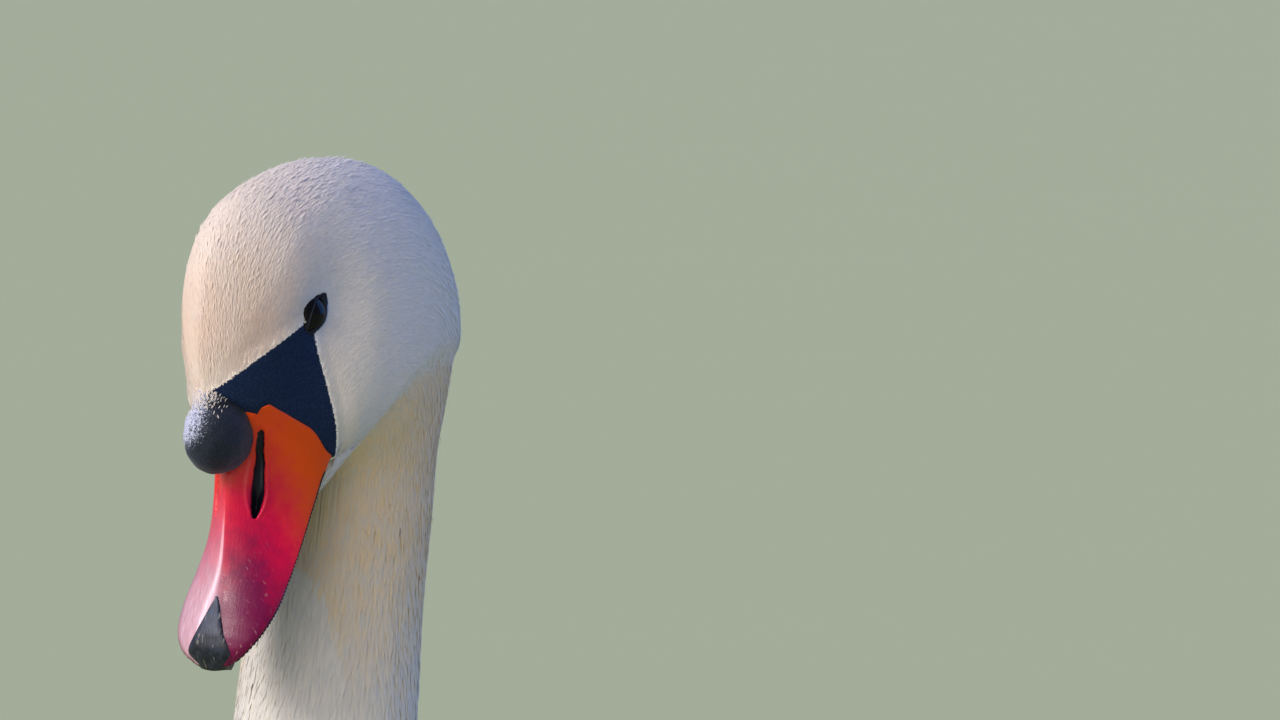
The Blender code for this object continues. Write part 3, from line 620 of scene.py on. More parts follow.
class Lattice:
    """A surface sampled on a grid and read between its points. u runs over the rows and v
    over the columns, 0 to 1."""

    golden: tuple[float, float] = (0.7548776662466927, 0.5698402909980532)
    shake: float = 0.25

    def __init__(self, points: Array, loops: bool = True) -> None:
        """Works out the surface's slopes, and normals that point away from its middle.

        Args:
            points: places, shape (rows, columns, 3).
            loops: whether the columns close into a ring.
        """
        self.points, self.loops = points, loops
        self.rows, self.cols = points.shape[:2]
        if loops:
            wide = np.concatenate([points[:, -1:], points, points[:, :1]], axis=1)
            self.across = (wide[:, 2:] - wide[:, :-2]) * self.cols / 2
        else:
            self.across = np.gradient(points, axis=1) * (self.cols - 1)
        self.ahead = np.gradient(points, axis=0) * (self.rows - 1)
        normal = np.cross(self.ahead, self.across)
        middle = points.mean(axis=1, keepdims=True) * ((1, 1, 1) if loops else (0, 1, 1))
        normal *= np.sign((normal * (points - middle)).sum())
        self.normals = unit(normal)
        self.area = np.linalg.norm(normal, axis=-1)

    def read(self, values: Array, u: Array, v: Array) -> Array:
        """Values between the grid's points, in proportion to nearness."""
        i = np.clip(u, 0, 1) * (self.rows - 1)
        i0 = np.minimum(i.astype(int), self.rows - 2)
        if self.loops:
            j = (v % 1) * self.cols
            j0, part = j.astype(int) % self.cols, j - np.floor(j)
        else:
            j = np.clip(v, 0, 1) * (self.cols - 1)
            j0 = np.minimum(j.astype(int), self.cols - 2)
            part = j - j0
        j1 = (j0 + 1) % self.cols
        a, b = (i - i0)[..., None], part[..., None]
        left = values[i0, j0] * (1 - a) + values[i0 + 1, j0] * a
        right = values[i0, j1] * (1 - a) + values[i0 + 1, j1] * a
        return left * (1 - b) + right * b

    def scatter(self, count: int, weight: Array | float, seed: int) -> tuple[Array, Array]:
        """Spreads places evenly: a low-discrepancy sequence, warped by area times weight.

        Args:
            count: number of places.
            weight: places wanted for an area, one number or an array of shape (rows, columns).
            seed: start of the small shake given to each.

        Returns:
            u and v of the places.
        """
        rng = np.random.default_rng(seed)
        a, b = ((0.5 + np.arange(count) * step) % 1 for step in self.golden)
        share = self.area * weight + TINY
        by_row = np.concatenate([[0], np.cumsum(share.sum(axis=1))])
        place = np.interp(a * by_row[-1], by_row, np.arange(self.rows + 1)) - 0.5
        row = np.clip(np.round(place), 0, self.rows - 1).astype(int)
        table = np.cumsum(share, axis=1) / share.sum(axis=1, keepdims=True)
        flat = (table + np.arange(self.rows)[:, None]).ravel()
        found = np.searchsorted(flat, row + b * 0.999999) - row * self.cols
        found = np.clip(found, 0, self.cols - 1)
        low = np.where(found > 0, table[row, np.maximum(found - 1, 0)], 0)
        part = (b - low) / np.maximum(table[row, found] - low, TINY)
        side = (found + np.clip(part, 0, 1) - 0.5) / (self.cols if self.loops else self.cols - 1)
        shake = rng.normal(0, self.shake, (2, count)) / np.array([[self.rows], [self.cols]])
        return np.clip((place / (self.rows - 1)) + shake[0], 0, 1), side + shake[1]

    def on_unwrap(self, u: Array, v: Array) -> tuple[Array, Array]:
        """Places on the unwrap, inside a margin that keeps every tuft's patch on it."""
        margin = 0.01
        across = v % 1 if self.loops else np.clip(v, 0, 1)
        return margin + (1 - 2 * margin) * np.clip(u, 0, 1), margin + (1 - 2 * margin) * across


@dataclass(frozen=True)
class Vane:
    """The form of one kind of feather.

    Rows and columns of its mesh, where it is widest, how wide its root and its tip are as
    shares of that, how far its sides fall from the shaft, how unlike its neighbours in
    heading it may be, how ragged its edge is, and how far its shading leans at random.
    """

    rows: int = 3
    cols: int = 2
    widest: float = 0.45
    root: float = 0.5
    tip: float = 0.0
    fall: float = 0.10
    wander: float = 0.10
    ragged: float = 0.0
    tilt: float = 0.10

    def outline(self, t: Array) -> Array:
        """Half width along the feather as a share: rises from the root as a quarter wave,
        then closes as an ellipse."""
        rise = self.root + (1 - self.root) * np.sin(np.clip(t / self.widest, 0, 1) * pi / 2)
        past = np.clip((t - self.widest) / (1 - self.widest), 0, 1)
        closing = np.sqrt(np.clip(1 - past**2.2, 0, 1))
        return rise * (self.tip + (1 - self.tip) * closing)

    def faces(self, count: int) -> list[Array]:
        """Faces of a number of feathers. A pointed one ends in triangles at a single point."""
        rows = self.rows - (self.tip == 0)
        each = rows * self.cols + (self.tip == 0)
        offsets = (np.arange(count) * each)[:, None, None]
        quads = grid_faces(rows, self.cols, False)[0]
        faces = [(quads[None] + offsets).reshape(-1, 4)]
        if self.tip == 0:
            k = np.arange(self.cols - 1) + (rows - 1) * self.cols
            ends = np.stack([k, k + 1, np.full(self.cols - 1, each - 1)], axis=-1)
            faces.append((ends[None] + offsets).reshape(-1, 3))
        return faces

    def flat(self, values: Array) -> Array:
        """What each feather's points carry, in a row, with one value at a pointed tip."""
        count, last = len(values), (self.rows - 1) * self.cols
        values = values.reshape(count, self.rows * self.cols, -1)
        if self.tip == 0:
            middle = values[:, last:].mean(axis=1, keepdims=True)
            values = np.concatenate([values[:, :last], middle], axis=1)
        return values.reshape(-1, values.shape[-1])


@dataclass(frozen=True)
class Bed:
    """Where feathers grow and how they lie: the surface under them, their form, the place of
    each root, its heading in degrees from straight along the lie, whether the lie runs with u
    (1) or against it (-1), and the share by which lengths and widths stray at random."""

    lattice: Lattice
    form: Vane
    u: Array
    v: Array
    heading: Array | float = 0.0
    onward: float = -1.0
    stray: float = 0.16

    def shafts(self, turns: Array, length: Array) -> tuple[Array, Array, Array]:
        """Steps each feather's shaft over the surface from its root.

        Args:
            turns: its heading at every row in radians, shape (feathers, rows).
            length: length of each.

        Returns:
            Places, the surface's normals there, and the way on, shape (feathers, rows, 3).
        """
        step, least = length / (self.form.rows - 1), 1e-3
        pu, pv, places = self.u, self.v, []
        for turn in turns.T:
            places.append((pu, pv))
            ahead = np.linalg.norm(self.lattice.read(self.lattice.ahead, pu, pv), axis=-1)
            aside = np.linalg.norm(self.lattice.read(self.lattice.across, pu, pv), axis=-1)
            pu = pu + self.onward * np.cos(turn) * step / np.maximum(ahead, least)
            pv = pv + np.sin(turn) * step / np.maximum(aside, least)
        su, sv = (np.stack(part, axis=1) for part in zip(*places))
        centre = self.lattice.read(self.lattice.points, su, sv)
        run = np.gradient(centre, axis=1)
        still = np.linalg.norm(run, axis=-1) < step[:, None] * 0.35
        if still.any():
            centre, run = straightened(centre, run, still, step)
        return centre, self.lattice.read(self.lattice.normals, su, sv), run

    def lay(self, fabric: Fabric, length: Array | float, width: Array | float,
            low: Array | float, high: Array | float, seed: int) -> Fabric:
        """Lays the feathers and adds them to a piece.

        Each starts at its root, steps over the surface along its heading, and is lifted off
        it from low at the root to high at the tip, as the 0.8th power of the way. Its width
        is the form's outline, and its sides fall below the shaft as a parabola.

        Args:
            fabric: the piece that they are added to.
            length: length of each.
            width: full width of each.
            low: height of each root.
            high: height of each tip.
            seed: start of the random differences.

        Returns:
            That piece.
        """
        form, count, rng = self.form, len(self.u), np.random.default_rng(seed)
        heading = np.radians(self.heading) + rng.normal(0, form.wander, count)
        length = length * (1 + rng.uniform(-self.stray, self.stray, count))
        width = width * (1 + rng.uniform(-self.stray, self.stray, count))
        number = rng.uniform(0, 1, count)
        bend = rng.normal(0, form.wander * 0.7, count)
        t, q = np.linspace(0, 1, form.rows), np.linspace(-1, 1, form.cols)
        centre, up, run = self.shafts(heading[:, None] + bend[:, None] * t, length)
        side, along = unit(np.cross(up, run)), unit(run)
        low, high = np.broadcast_to(low, count), np.broadcast_to(high, count)
        lift = low[:, None] + (high - low)[:, None] * t**0.8
        half = width[:, None] * 0.5 * form.outline(t)
        if form.ragged:
            half = half * (1 + rng.normal(0, form.ragged, half.shape) * (t > 0.3))
        reach = half[:, :, None] * q
        rise = lift[:, :, None] - form.fall * half[:, :, None] * q**2
        centre, up, side, along = (part[:, :, None] for part in (centre, up, side, along))
        points = centre + up * rise[..., None] + side * reach[..., None]
        lean = rng.normal(0, form.tilt, (count, 1, 1, 2))
        round_side = 0.7 * form.fall * q[None, None, :, None]
        normal = up + side * (lean[..., :1] + round_side) + along * lean[..., 1:]
        vane = np.empty(points.shape)
        vane[..., 0], vane[..., 1], vane[..., 2] = q, t[:, None], number[:, None, None]
        tone = markings(points[:, :1, form.cols // 2])[:, :, None]
        row, column = (part[:, None, None] for part in self.lattice.on_unwrap(self.u, self.v))
        patch = np.stack([column + q * PATCH / 2 + 0 * t[:, None],
                          row + (t[:, None] - 0.5) * PATCH + 0 * q], axis=-1)
        flat, normals = form.flat(points), form.flat(normal)
        normals /= np.linalg.norm(normals, axis=-1, keepdims=True)
        faces = form.faces(count)
        a, b, c = (flat[faces[0][:, k]] for k in (0, 1, 3))
        facing = np.einsum("ij,ij->i", np.cross(b - a, c - a), normals[faces[0][:, 0]]).sum()
        if facing < 0:
            faces = [block[:, ::-1] for block in faces]
        return fabric.add(flat, faces, normals, form.flat(patch), vane=form.flat(vane),
                          tone=form.flat(np.broadcast_to(tone, vane.shape)))


def straightened(centre: Array, run: Array, still: Array, step: Array) -> tuple[Array, Array]:
    """Carries feathers straight on from where their steps stop at the surface's end.

    Args:
        centre: places of the shafts, shape (feathers, rows, 3).
        run: the way on at each place.
        still: where a shaft hardly moves on.
        step: length of one step of each.

    Returns:
        The places and the ways on after that.
    """
    way = unit(run[:, 0])
    for row in range(1, centre.shape[1]):
        fresh = centre[:, row] - centre[:, row - 1]
        stopped = still[:, row] | (np.linalg.norm(fresh, axis=-1) < step * 0.5)
        way = np.where(stopped[:, None], way, unit(fresh))
        onward = centre[:, row - 1] + way * step[:, None]
        centre[:, row] = np.where(stopped[:, None], onward, centre[:, row])
    return centre, np.gradient(centre, axis=1)


@dataclass(frozen=True)
class Growth:
    """How feathers grow over a stretch, by a size that runs from 0 to 1 over it.

    Length, width and height of the tip are pairs: the value at size 0, and what size 1 adds.
    A root stands at a random height between two, and length and height of the tip are
    multiplied by a random share between two.
    """

    form: Vane
    length: tuple[float, float]
    width: tuple[float, float]
    high: tuple[float, float]
    root: tuple[float, float]
    longer: tuple[float, float]
    higher: tuple[float, float]

    def lay(self, fabric: Fabric, lattice: Lattice, u: Array, v: Array, size: Array,
            seeds: tuple[int, int]) -> Fabric:
        """Lays the stretch's feathers: value at size 0 plus size times what is added.

        Args:
            fabric: the piece that they are added to.
            lattice: the surface under them.
            u: place of each root along the surface.
            v: place of each root across it.
            size: size of each, 0 to 1.
            seeds: starts of the draws for their sizes and for their differences.

        Returns:
            That piece.
        """
        rng, count = np.random.default_rng(seeds[0]), len(u)
        length = (self.length[0] + self.length[1] * size) * rng.uniform(*self.longer, count)
        width = self.width[0] + self.width[1] * size
        low = rng.uniform(*self.root, count)
        high = (self.high[0] + self.high[1] * size) * rng.uniform(*self.higher, count)
        return Bed(lattice, self.form, u, v).lay(fabric, length, width, low, low + high, seeds[1])


# ---- shaders -------------------------------------------------------------------------------
class Wire:
    """One output of a shader tree. Arithmetic on it adds Math nodes."""

    def __init__(self, tree: bpy.types.NodeTree, socket: bpy.types.NodeSocket) -> None:
        """Keeps the tree and the socket."""
        self.tree, self.socket = tree, socket

    def math(self, operation: str, *others: "Wire | float") -> "Wire":
        """A Math node on this output and up to two others."""
        made = self.tree.nodes.new("ShaderNodeMath")
        made.operation = operation
        for place, value in enumerate((self, *others)):
            if isinstance(value, Wire):
                self.tree.links.new(value.socket, made.inputs[place])
            else:
                made.inputs[place].default_value = value
        return Wire(self.tree, made.outputs[0])

    def size(self) -> "Wire":
        """This value without its sign."""
        return self.math("ABSOLUTE")

    def __add__(self, other: "Wire | float") -> "Wire":
        """Sum."""
        return self.math("ADD", other)

    __radd__ = __add__

    def __sub__(self, other: "Wire | float") -> "Wire":
        """Difference."""
        return self.math("SUBTRACT", other)

    def __rsub__(self, other: float) -> "Wire":
        """Difference with the constant first."""
        made = self.tree.nodes.new("ShaderNodeValue")
        made.outputs[0].default_value = other
        return Wire(self.tree, made.outputs[0]).math("SUBTRACT", self)

    def __mul__(self, other: "Wire | float") -> "Wire":
        """Product."""
        return self.math("MULTIPLY", other)

    __rmul__ = __mul__

    def __pow__(self, other: float) -> "Wire":
        """Power."""
        return self.math("POWER", other)

    def between(self, low: float, high: float) -> "Wire":
        """Smooth step of this value from 0 at low to 1 at high."""
        made = self.tree.nodes.new("ShaderNodeMapRange")
        made.interpolation_type = "SMOOTHSTEP"
        self.tree.links.new(self.socket, made.inputs["Value"])
        made.inputs["From Min"].default_value = low
        made.inputs["From Max"].default_value = high
        return Wire(self.tree, made.outputs[0])


class Graph:
    """The shader tree of one material."""

    def __init__(self, name: str) -> None:
        """Makes a material whose tree holds its Principled shader and output."""
        self.material = bpy.data.materials.new(name)
        self.material.use_nodes = True
        self.tree = self.material.node_tree
        self.shader = self.tree.nodes["Principled BSDF"]
        self.end = self.tree.nodes["Material Output"]

    def node(self, kind: str, settings: dict | None = None, inputs: dict | None = None,
             output: int | str = 0) -> Wire:
        """Any node.

        Args:
            kind: its type.
            settings: properties, set first.
            inputs: sockets by name or number, each a Wire, a number, a colour or a vector.
            output: which output is wanted.

        Returns:
            That output.
        """
        made = self.tree.nodes.new(kind)
        for key, value in (settings or {}).items():
            setattr(made, key, value)
        for key, value in (inputs or {}).items():
            self.join(made.inputs[key], value)
        return Wire(self.tree, made.outputs[output])

    def join(self, socket: bpy.types.NodeSocket, value: "Wire | float | tuple") -> None:
        """Links a Wire to a socket, or sets the socket to a constant."""
        if isinstance(value, Wire):
            self.tree.links.new(value.socket, socket)
        elif isinstance(value, tuple) and len(value) == 3 and socket.type == "RGBA":
            socket.default_value = (*value, 1)
        else:
            socket.default_value = value

    def mix(self, share: Wire | float, first: Wire | Triple, second: Wire | Triple) -> Wire:
        """Colour between two, by share of the second."""
        factor, colour_a, colour_b, result = 0, 6, 7, 2
        inputs = {factor: share, colour_a: first, colour_b: second}
        return self.node("ShaderNodeMix", {"data_type": "RGBA"}, inputs, result)

    def place(self, stretch: Triple = (1, 1, 1)) -> Wire:
        """Object coordinates, stretched by a Mapping node."""
        coordinates = self.node("ShaderNodeTexCoord", output="Object")
        return self.node("ShaderNodeMapping", inputs={"Vector": coordinates, "Scale": stretch})

    def noise(self, scale: float, detail: float = 3.0, place: Wire | None = None,
              rough: float = 0.5) -> Wire:
        """Noise of a number of waves in a metre, 0 to 1."""
        inputs = {"Vector": place or self.place(), "Scale": scale, "Detail": detail,
                  "Roughness": rough}
        return self.node("ShaderNodeTexNoise", {"noise_dimensions": "3D"}, inputs)

    def cells(self, scale: float, feature: str = "F1") -> Wire:
        """Cells, a number of them in a metre: distance to the middle, or to the edge."""
        inputs = {"Vector": self.place(), "Scale": scale}
        return self.node("ShaderNodeTexVoronoi", {"feature": feature}, inputs)

    def carried(self, name: str) -> tuple[Wire, Wire, Wire]:
        """The three parts of a vector carried by the mesh."""
        vector = self.node("ShaderNodeAttribute", {"attribute_name": name}, output="Vector")
        made = self.tree.nodes.new("ShaderNodeSeparateXYZ")
        self.tree.links.new(vector.socket, made.inputs[0])
        return tuple(Wire(self.tree, out) for out in made.outputs)

    def bump(self, height: Wire, distance: float, strength: float = 1.0) -> Wire:
        """A Bump node on a height from 0 to 1."""
        inputs = {"Height": height, "Distance": distance, "Strength": strength}
        return self.node("ShaderNodeBump", inputs=inputs)

    def set(self, **inputs: "Wire | float | tuple") -> bpy.types.Material:
        """Sets the Principled shader's sockets, _ standing for a space in their names, and
        returns the material."""
        for key, value in inputs.items():
            self.join(self.shader.inputs[key.replace("_", " ")], value)
        return self.material

    def lit_through(self, share: float, colour: Wire) -> None:
        """Lets light through a thin surface: a Translucent shader mixed in."""
        through = self.node("ShaderNodeBsdfTranslucent", inputs={"Color": colour})
        own = Wire(self.tree, self.shader.outputs[0])
        mixed = self.node("ShaderNodeMixShader", inputs={0: share, 1: own, 2: through})
        self.tree.links.new(mixed.socket, self.end.inputs["Surface"])


class Finish:
    """What a piece is dressed in. Each kind draws its own material once.

    The numbers given to noise and cells are waves or cells in a metre, and those given to
    between are the limits of a smooth step.
    """

    made: dict[str, bpy.types.Material] = {}

    def material(self) -> bpy.types.Material:
        """The material of this finish, made at its first use."""
        key = repr(self)
        if key not in Finish.made:
            Finish.made[key] = self.draw()
        return Finish.made[key]

    def draw(self) -> bpy.types.Material:
        """Draws the shader tree."""
        raise NotImplementedError


@dataclass(frozen=True)
class Plumage(Finish):
    """White feathers stained by the carried markings, with fine barbs and a darker, raised
    shaft on the larger ones."""

    name: str = "plumage"
    white: Triple = (0.92, 0.90, 0.89)
    rust_and_painted_light: Triple = (0.88, 0.70, 0.61)
    cream: Triple = (0.95, 0.76, 0.50)
    grey: Triple = (0.74, 0.80, 0.92)
    barbs: float = 0.0
    shaft: float = 0.0
    through: float = 0.34

    def draw(self) -> bpy.types.Material:
        """Stains over white, the rust among them partly painted warm light, a slow mottle, each
        feather a little lighter or darker, and barbs as slanting lines."""
        g = Graph(self.name)
        rust_and_painted_light, cream, grey = g.carried("tone")
        across, along, number = g.carried("vane")
        mottle = g.noise(160, 3)
        # rust: a stain that is partly painted warm light on the forehead
        colour = g.mix(rust_and_painted_light * (0.55 + mottle * 0.5), self.white, self.rust_and_painted_light)
        colour = g.mix(cream * (0.25 + mottle * 0.5 + number * 0.5), colour, self.cream)
        colour = g.mix(grey * 0.6, colour, self.grey)
        shade = 0.93 + number * 0.09 - (1 - along) * 0.04
        height: Wire = g.noise(2600, 2)
        if self.barbs:
            slant = along * self.barbs + across.size() * (self.barbs * 0.28)
            lines = (slant * (2 * pi)).math("SINE") * 0.5 + 0.5
            rachis = 1 - across.size().between(0.02, 0.10)
            shade = shade * (1 - lines * 0.045 - rachis * self.shaft * (1 - along))
            height = lines * 0.6 + rachis * 0.8
        shade = shade * (1 - across.size() ** 3 * 0.04)
        tint = g.node("ShaderNodeVectorMath", {"operation": "SCALE"}, {0: colour, "Scale": shade})
        g.lit_through(self.through, tint)
        return g.set(Base_Color=tint, Roughness=0.82, Specular_IOR_Level=0.18,
                     Sheen_Weight=0.08, Normal=g.bump(height, 0.0002, 0.5))


@dataclass(frozen=True)
class Skin(Finish):
    """Skin under the coat in its own colours, and the bare black face before the eye."""

    name: str = "skin"
    coat: Plumage = Plumage()
    black: Triple = (0.0045, 0.0145, 0.048)
    dull: Triple = (0.030, 0.050, 0.110)

    def draw(self) -> bpy.types.Material:
        """The coat's stains, and the black face by the carried share, which grain breaks up
        at its edge; grain and pores as bump."""
        g = Graph(self.name)
        rust_and_painted_light, cream, grey = g.carried("tone")
        bare, _, _ = g.carried("bare")
        grain = g.noise(1500, 4, rough=0.65)
        pores = g.cells(1500.0)
        # rust: a stain that is partly painted warm light on the forehead
        colour = g.mix(rust_and_painted_light * 0.8, self.coat.white, self.coat.rust_and_painted_light)
        colour = g.mix(cream * 0.8, colour, self.coat.cream)
        colour = g.mix(grey * 0.6, colour, self.coat.grey)
        face = g.mix(grain.between(0.45, 0.80) * 0.8, self.black, self.dull)
        colour = g.mix((bare + (grain - 0.5) * 1.3).between(0.40, 0.56), colour, face)
        return g.set(Base_Color=colour, Roughness=0.55 + grain * 0.25,
                     Specular_IOR_Level=0.12, Normal=g.bump(pores * 0.6 + grain, 0.00030, 0.9))


@dataclass(frozen=True)
class BlackKnob(Finish):
    """Black warty skin of the knob, with a frost of white specks toward the forehead, which
    is richer toward the bird's right side as painted light.
    """

    name: str = "black_knob"
    black: Triple = (0.0030, 0.0060, 0.014)
    dull: Triple = (0.018, 0.028, 0.055)
    frost_and_painted_light: Triple = (0.64, 0.67, 0.86)
    sheen_and_painted_sheen: Triple = (0.75, 0.78, 1.0)

    def draw(self) -> bpy.types.Material:
        """Fine pores, low lumps and a frost by the carried share, which noise breaks up into
        specks; the share's rise toward the bird's right side is painted light."""
        g = Graph(self.name)
        frost_and_painted_light, _, _ = g.carried("bare")
        grain = g.noise(1400, 4, rough=0.65)
        specks = g.noise(2300, 3, rough=0.7) * 0.6 + g.noise(900, 3, rough=0.7) * 0.4
        pores = g.cells(1500.0)
        white = (specks + frost_and_painted_light * 0.42 - 0.71).between(0.0, 0.13) * frost_and_painted_light.between(0.02, 0.25)
        colour = g.mix(grain.between(0.40, 0.8) * 0.7, self.black, self.dull)
        colour = g.mix(white * (0.45 + frost_and_painted_light * 0.4), colour, self.frost_and_painted_light)
        return g.set(Base_Color=colour, Roughness=0.42 + grain * 0.3, Specular_IOR_Level=0.22,
                     Sheen_Weight=0.20, Sheen_Roughness=0.5, Sheen_Tint=(*self.sheen_and_painted_sheen, 1.0),
                     Normal=g.bump(pores * 0.5 + grain, 0.0003, 0.8))


@dataclass(frozen=True)
class BillHorn(Finish):
    """Horn of the upper bill: orange at the face, through red to crimson at the tip, black
    along its edge and in the nostril, with a waxy shine and small scratches, and a pink
    painted sheen and painted highlight streak toward the tip on the bird's right side."""

    name: str = "bill_horn"
    orange: Triple = (0.71, 0.066, 0.001)
    red: Triple = (0.68, 0.001, 0.044)
    crimson: Triple = (0.14, 0.001, 0.042)
    black: Triple = (0.004, 0.006, 0.013)
    # pink painted sheen: colour that stands in for light reflected off the horn
    sheen_and_painted_sheen: Triple = (0.95, 0.66, 0.74)
    vein: Triple = (0.40, 0.01, 0.03)
    scratch: Triple = (0.85, 0.55, 0.50)

    def draw(self) -> bpy.types.Material:
        """Three colours along the carried distance, mottled; a pink painted sheen and highlight
        by the carried ridge share, black by the carried share, and fine lengthwise streaks as
        bump."""
        g = Graph(self.name)
        # ridge: the share of painted sheen, a painted reflection and highlight streak
        along, black, ridge = g.carried("bare")
        mottle = g.noise(220, 4, rough=0.6)
        fine = g.noise(1100, 4, rough=0.6)
        streaks = g.noise(60, 3, g.place((26.0, 3.0, 3.0)))
        warm = (along + (mottle - 0.5) * 0.30)
        colour = g.mix(warm.between(0.06, 0.46), self.orange, self.red)
        colour = g.mix(warm.between(0.30, 0.80), colour, self.crimson)
        # painted sheen: pink painted reflection and highlight, broken up by streaky noise
        sheen_and_painted_sheen = g.noise(90, 3, g.place((14.0, 2.0, 2.0))).between(0.20, 0.75)
        colour = g.mix(ridge * (0.75 + sheen_and_painted_sheen * 0.35), colour, self.sheen_and_painted_sheen)
        colour = g.mix(fine.between(0.56, 0.80) * 0.22, colour, self.vein)
        dark = (black + (fine - 0.5) * 0.35).between(0.40, 0.60)
        colour = g.mix(dark, colour, self.black)
        scratch = g.noise(700, 2, g.place((0.35, 2.5, 0.6)))
        worn = scratch.between(0.66, 0.74) * along.between(0.45, 0.95)
        colour = g.mix(worn * 0.30, colour, self.scratch)
        rough = 0.30 + mottle * 0.14 + worn * 0.2
        height = fine * 0.35 + streaks * 0.8 + scratch.between(0.6, 0.75) * 0.4
        return g.set(Base_Color=colour, Roughness=rough, Specular_IOR_Level=0.22,
                     Coat_Weight=0.06, Coat_Roughness=0.12, Subsurface_Weight=0.10,
                     Subsurface_Scale=0.002, Normal=g.bump(height, 0.0003, 0.4))


@dataclass(frozen=True)
class DarkHorn(Finish):
    """Dark horn of nail and claws: grey-black, paler where worn, with fine ridges."""

    name: str = "dark_horn"
    dark: Triple = (0.004, 0.006, 0.010)
    worn: Triple = (0.045, 0.056, 0.095)
    scratch: Triple = (0.55, 0.48, 0.40)

    def draw(self) -> bpy.types.Material:
        """Two greys mixed by noise, paler by the carried share, with ridges as bump."""
        g = Graph(self.name)
        pale, _, _ = g.carried("bare")
        mottle = g.noise(350, 4, rough=0.65)
        ridges = g.noise(240, 3, g.place((9.0, 1.0, 1.0)))
        share = (mottle.between(0.40, 0.75) * 0.45 + pale * (0.35 + mottle * 0.6))
        colour = g.mix(share, self.dark, self.worn)
        scratch = g.noise(520, 2, g.place((3.0, 0.5, 0.5))).between(0.64, 0.70)
        colour = g.mix(scratch * 0.35, colour, self.scratch)
        return g.set(Base_Color=colour, Roughness=0.38 + mottle * 0.2, Specular_IOR_Level=0.35,
                     Coat_Weight=0.04, Coat_Roughness=0.3,
                     Normal=g.bump(ridges + mottle * 0.4, 0.0003, 0.6))


@dataclass(frozen=True)
class EyeGloss(Finish):
    """Wet dark eye: a brown-black iris round a black pupil, under a clear glossy coat."""

    name: str = "eye_gloss"
    pupil: Triple = (0.003, 0.003, 0.004)
    dark: Triple = (0.008, 0.005, 0.004)
    brown: Triple = (0.016, 0.009, 0.006)

    def draw(self) -> bpy.types.Material:
        """Grained brown outside the carried rim of the pupil, and black inside it."""
        g = Graph(self.name)
        rim, _, _ = g.carried("bare")
        grain = g.noise(900, 3)
        iris = g.mix(grain, self.dark, self.brown)
        colour = g.mix(rim.between(0.46, 0.52), self.pupil, iris)
        return g.set(Base_Color=colour, Roughness=0.06 + grain * 0.03, Specular_IOR_Level=0.10,
                     Coat_Weight=0.10, Coat_Roughness=0.02, Normal=g.bump(grain, 0.00002, 0.1))


@dataclass(frozen=True)
class LidSkin(Finish):
    """Bare skin of the lids: black at the rim of the eye, paler outside it."""

    name: str = "lid_skin"
    dark: Triple = (0.004, 0.006, 0.012)
    dull: Triple = (0.014, 0.018, 0.032)
    warm: Triple = (0.40, 0.35, 0.31)
    cool: Triple = (0.56, 0.62, 0.80)
    line: Triple = (0.26, 0.20, 0.16)

    def draw(self) -> bpy.types.Material:
        """Black, then pale by the carried share across the lid, with a dark crease on the
        lower lid, a light line on the upper one, and a fine grain as bump."""
        g = Graph(self.name)
        across, light, ring = g.carried("bare")
        grain = g.noise(2200, 3, rough=0.6)
        colour = g.mix(grain, self.dark, self.dull)
        line = across.between(0.62, 0.74) * (1 - across.between(0.90, 0.98))
        crease = across.between(0.68, 0.74) * (1 - across.between(0.80, 0.88))
        outer = g.mix(ring, self.warm, self.cool)
        share = across.between(0.50, 0.64) * (1 - crease * ring * 0.9) * ring.between(0.1, 0.5)
        colour = g.mix(share, colour, outer)
        colour = g.mix(light * line * 0.8, colour, self.line)
        return g.set(Base_Color=colour, Roughness=0.50 + grain * 0.2, Specular_IOR_Level=0.2,
                     Normal=g.bump(grain, 0.0002, 0.7))


@dataclass(frozen=True)
class LegSkin(Finish):
    """Scaled dark grey skin of shanks, toes and webs."""

    name: str = "leg_skin"
    dark: Triple = (0.022, 0.022, 0.024)
    dusty: Triple = (0.065, 0.062, 0.060)
    crease: Triple = (0.012, 0.012, 0.013)

    def draw(self) -> bpy.types.Material:
        """Small rounded cells with dark creases between them, the carried scutes down the
        front of shank and toes, and a dusty mottle."""
        g = Graph(self.name)
        scute, _, _ = g.carried("bare")
        cells = g.cells(420.0, "DISTANCE_TO_EDGE")
        mottle = g.noise(90, 4)
        crease = 1 - cells.between(0.02, 0.16)
        colour = g.mix(mottle.between(0.3, 0.75), self.dark, self.dusty)
        colour = g.mix(crease * 0.6, colour, self.crease)
        height = cells.between(0.0, 0.35) + scute * 0.6 + mottle * 0.2
        return g.set(Base_Color=colour, Roughness=0.58 + mottle * 0.2, Specular_IOR_Level=0.4,
                     Normal=g.bump(height, 0.0006, 0.8))


@dataclass(frozen=True)
class Floor(Finish):
    """Plain pale floor."""

    name: str = "floor"
    colour: Triple = (0.43, 0.47, 0.25)
    paler: Triple = (0.46, 0.50, 0.28)

    def draw(self) -> bpy.types.Material:
        """One colour with a very slow, faint mottle."""
        g = Graph(self.name)
        return g.set(Base_Color=g.mix(g.noise(0.7, 2) * 0.15, self.colour, self.paler),
                     Roughness=0.9)


class Slot(Enum):
    """The record's material slots."""

    DOWN = "down"
    CREAM = "cream_down"
    QUILLS = "quills"
    BLACK = "black_skin"
    ORANGE = "orange_horn"
    DARK = "dark_horn"
    EYE = "eye"


def settle(item: bpy.types.Object, slot: Slot, *nodes: str) -> None:
    """Rides a piece on the body and hides the nodes that it replaces."""
    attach(item, "root")
    if nodes:
        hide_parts(*nodes)


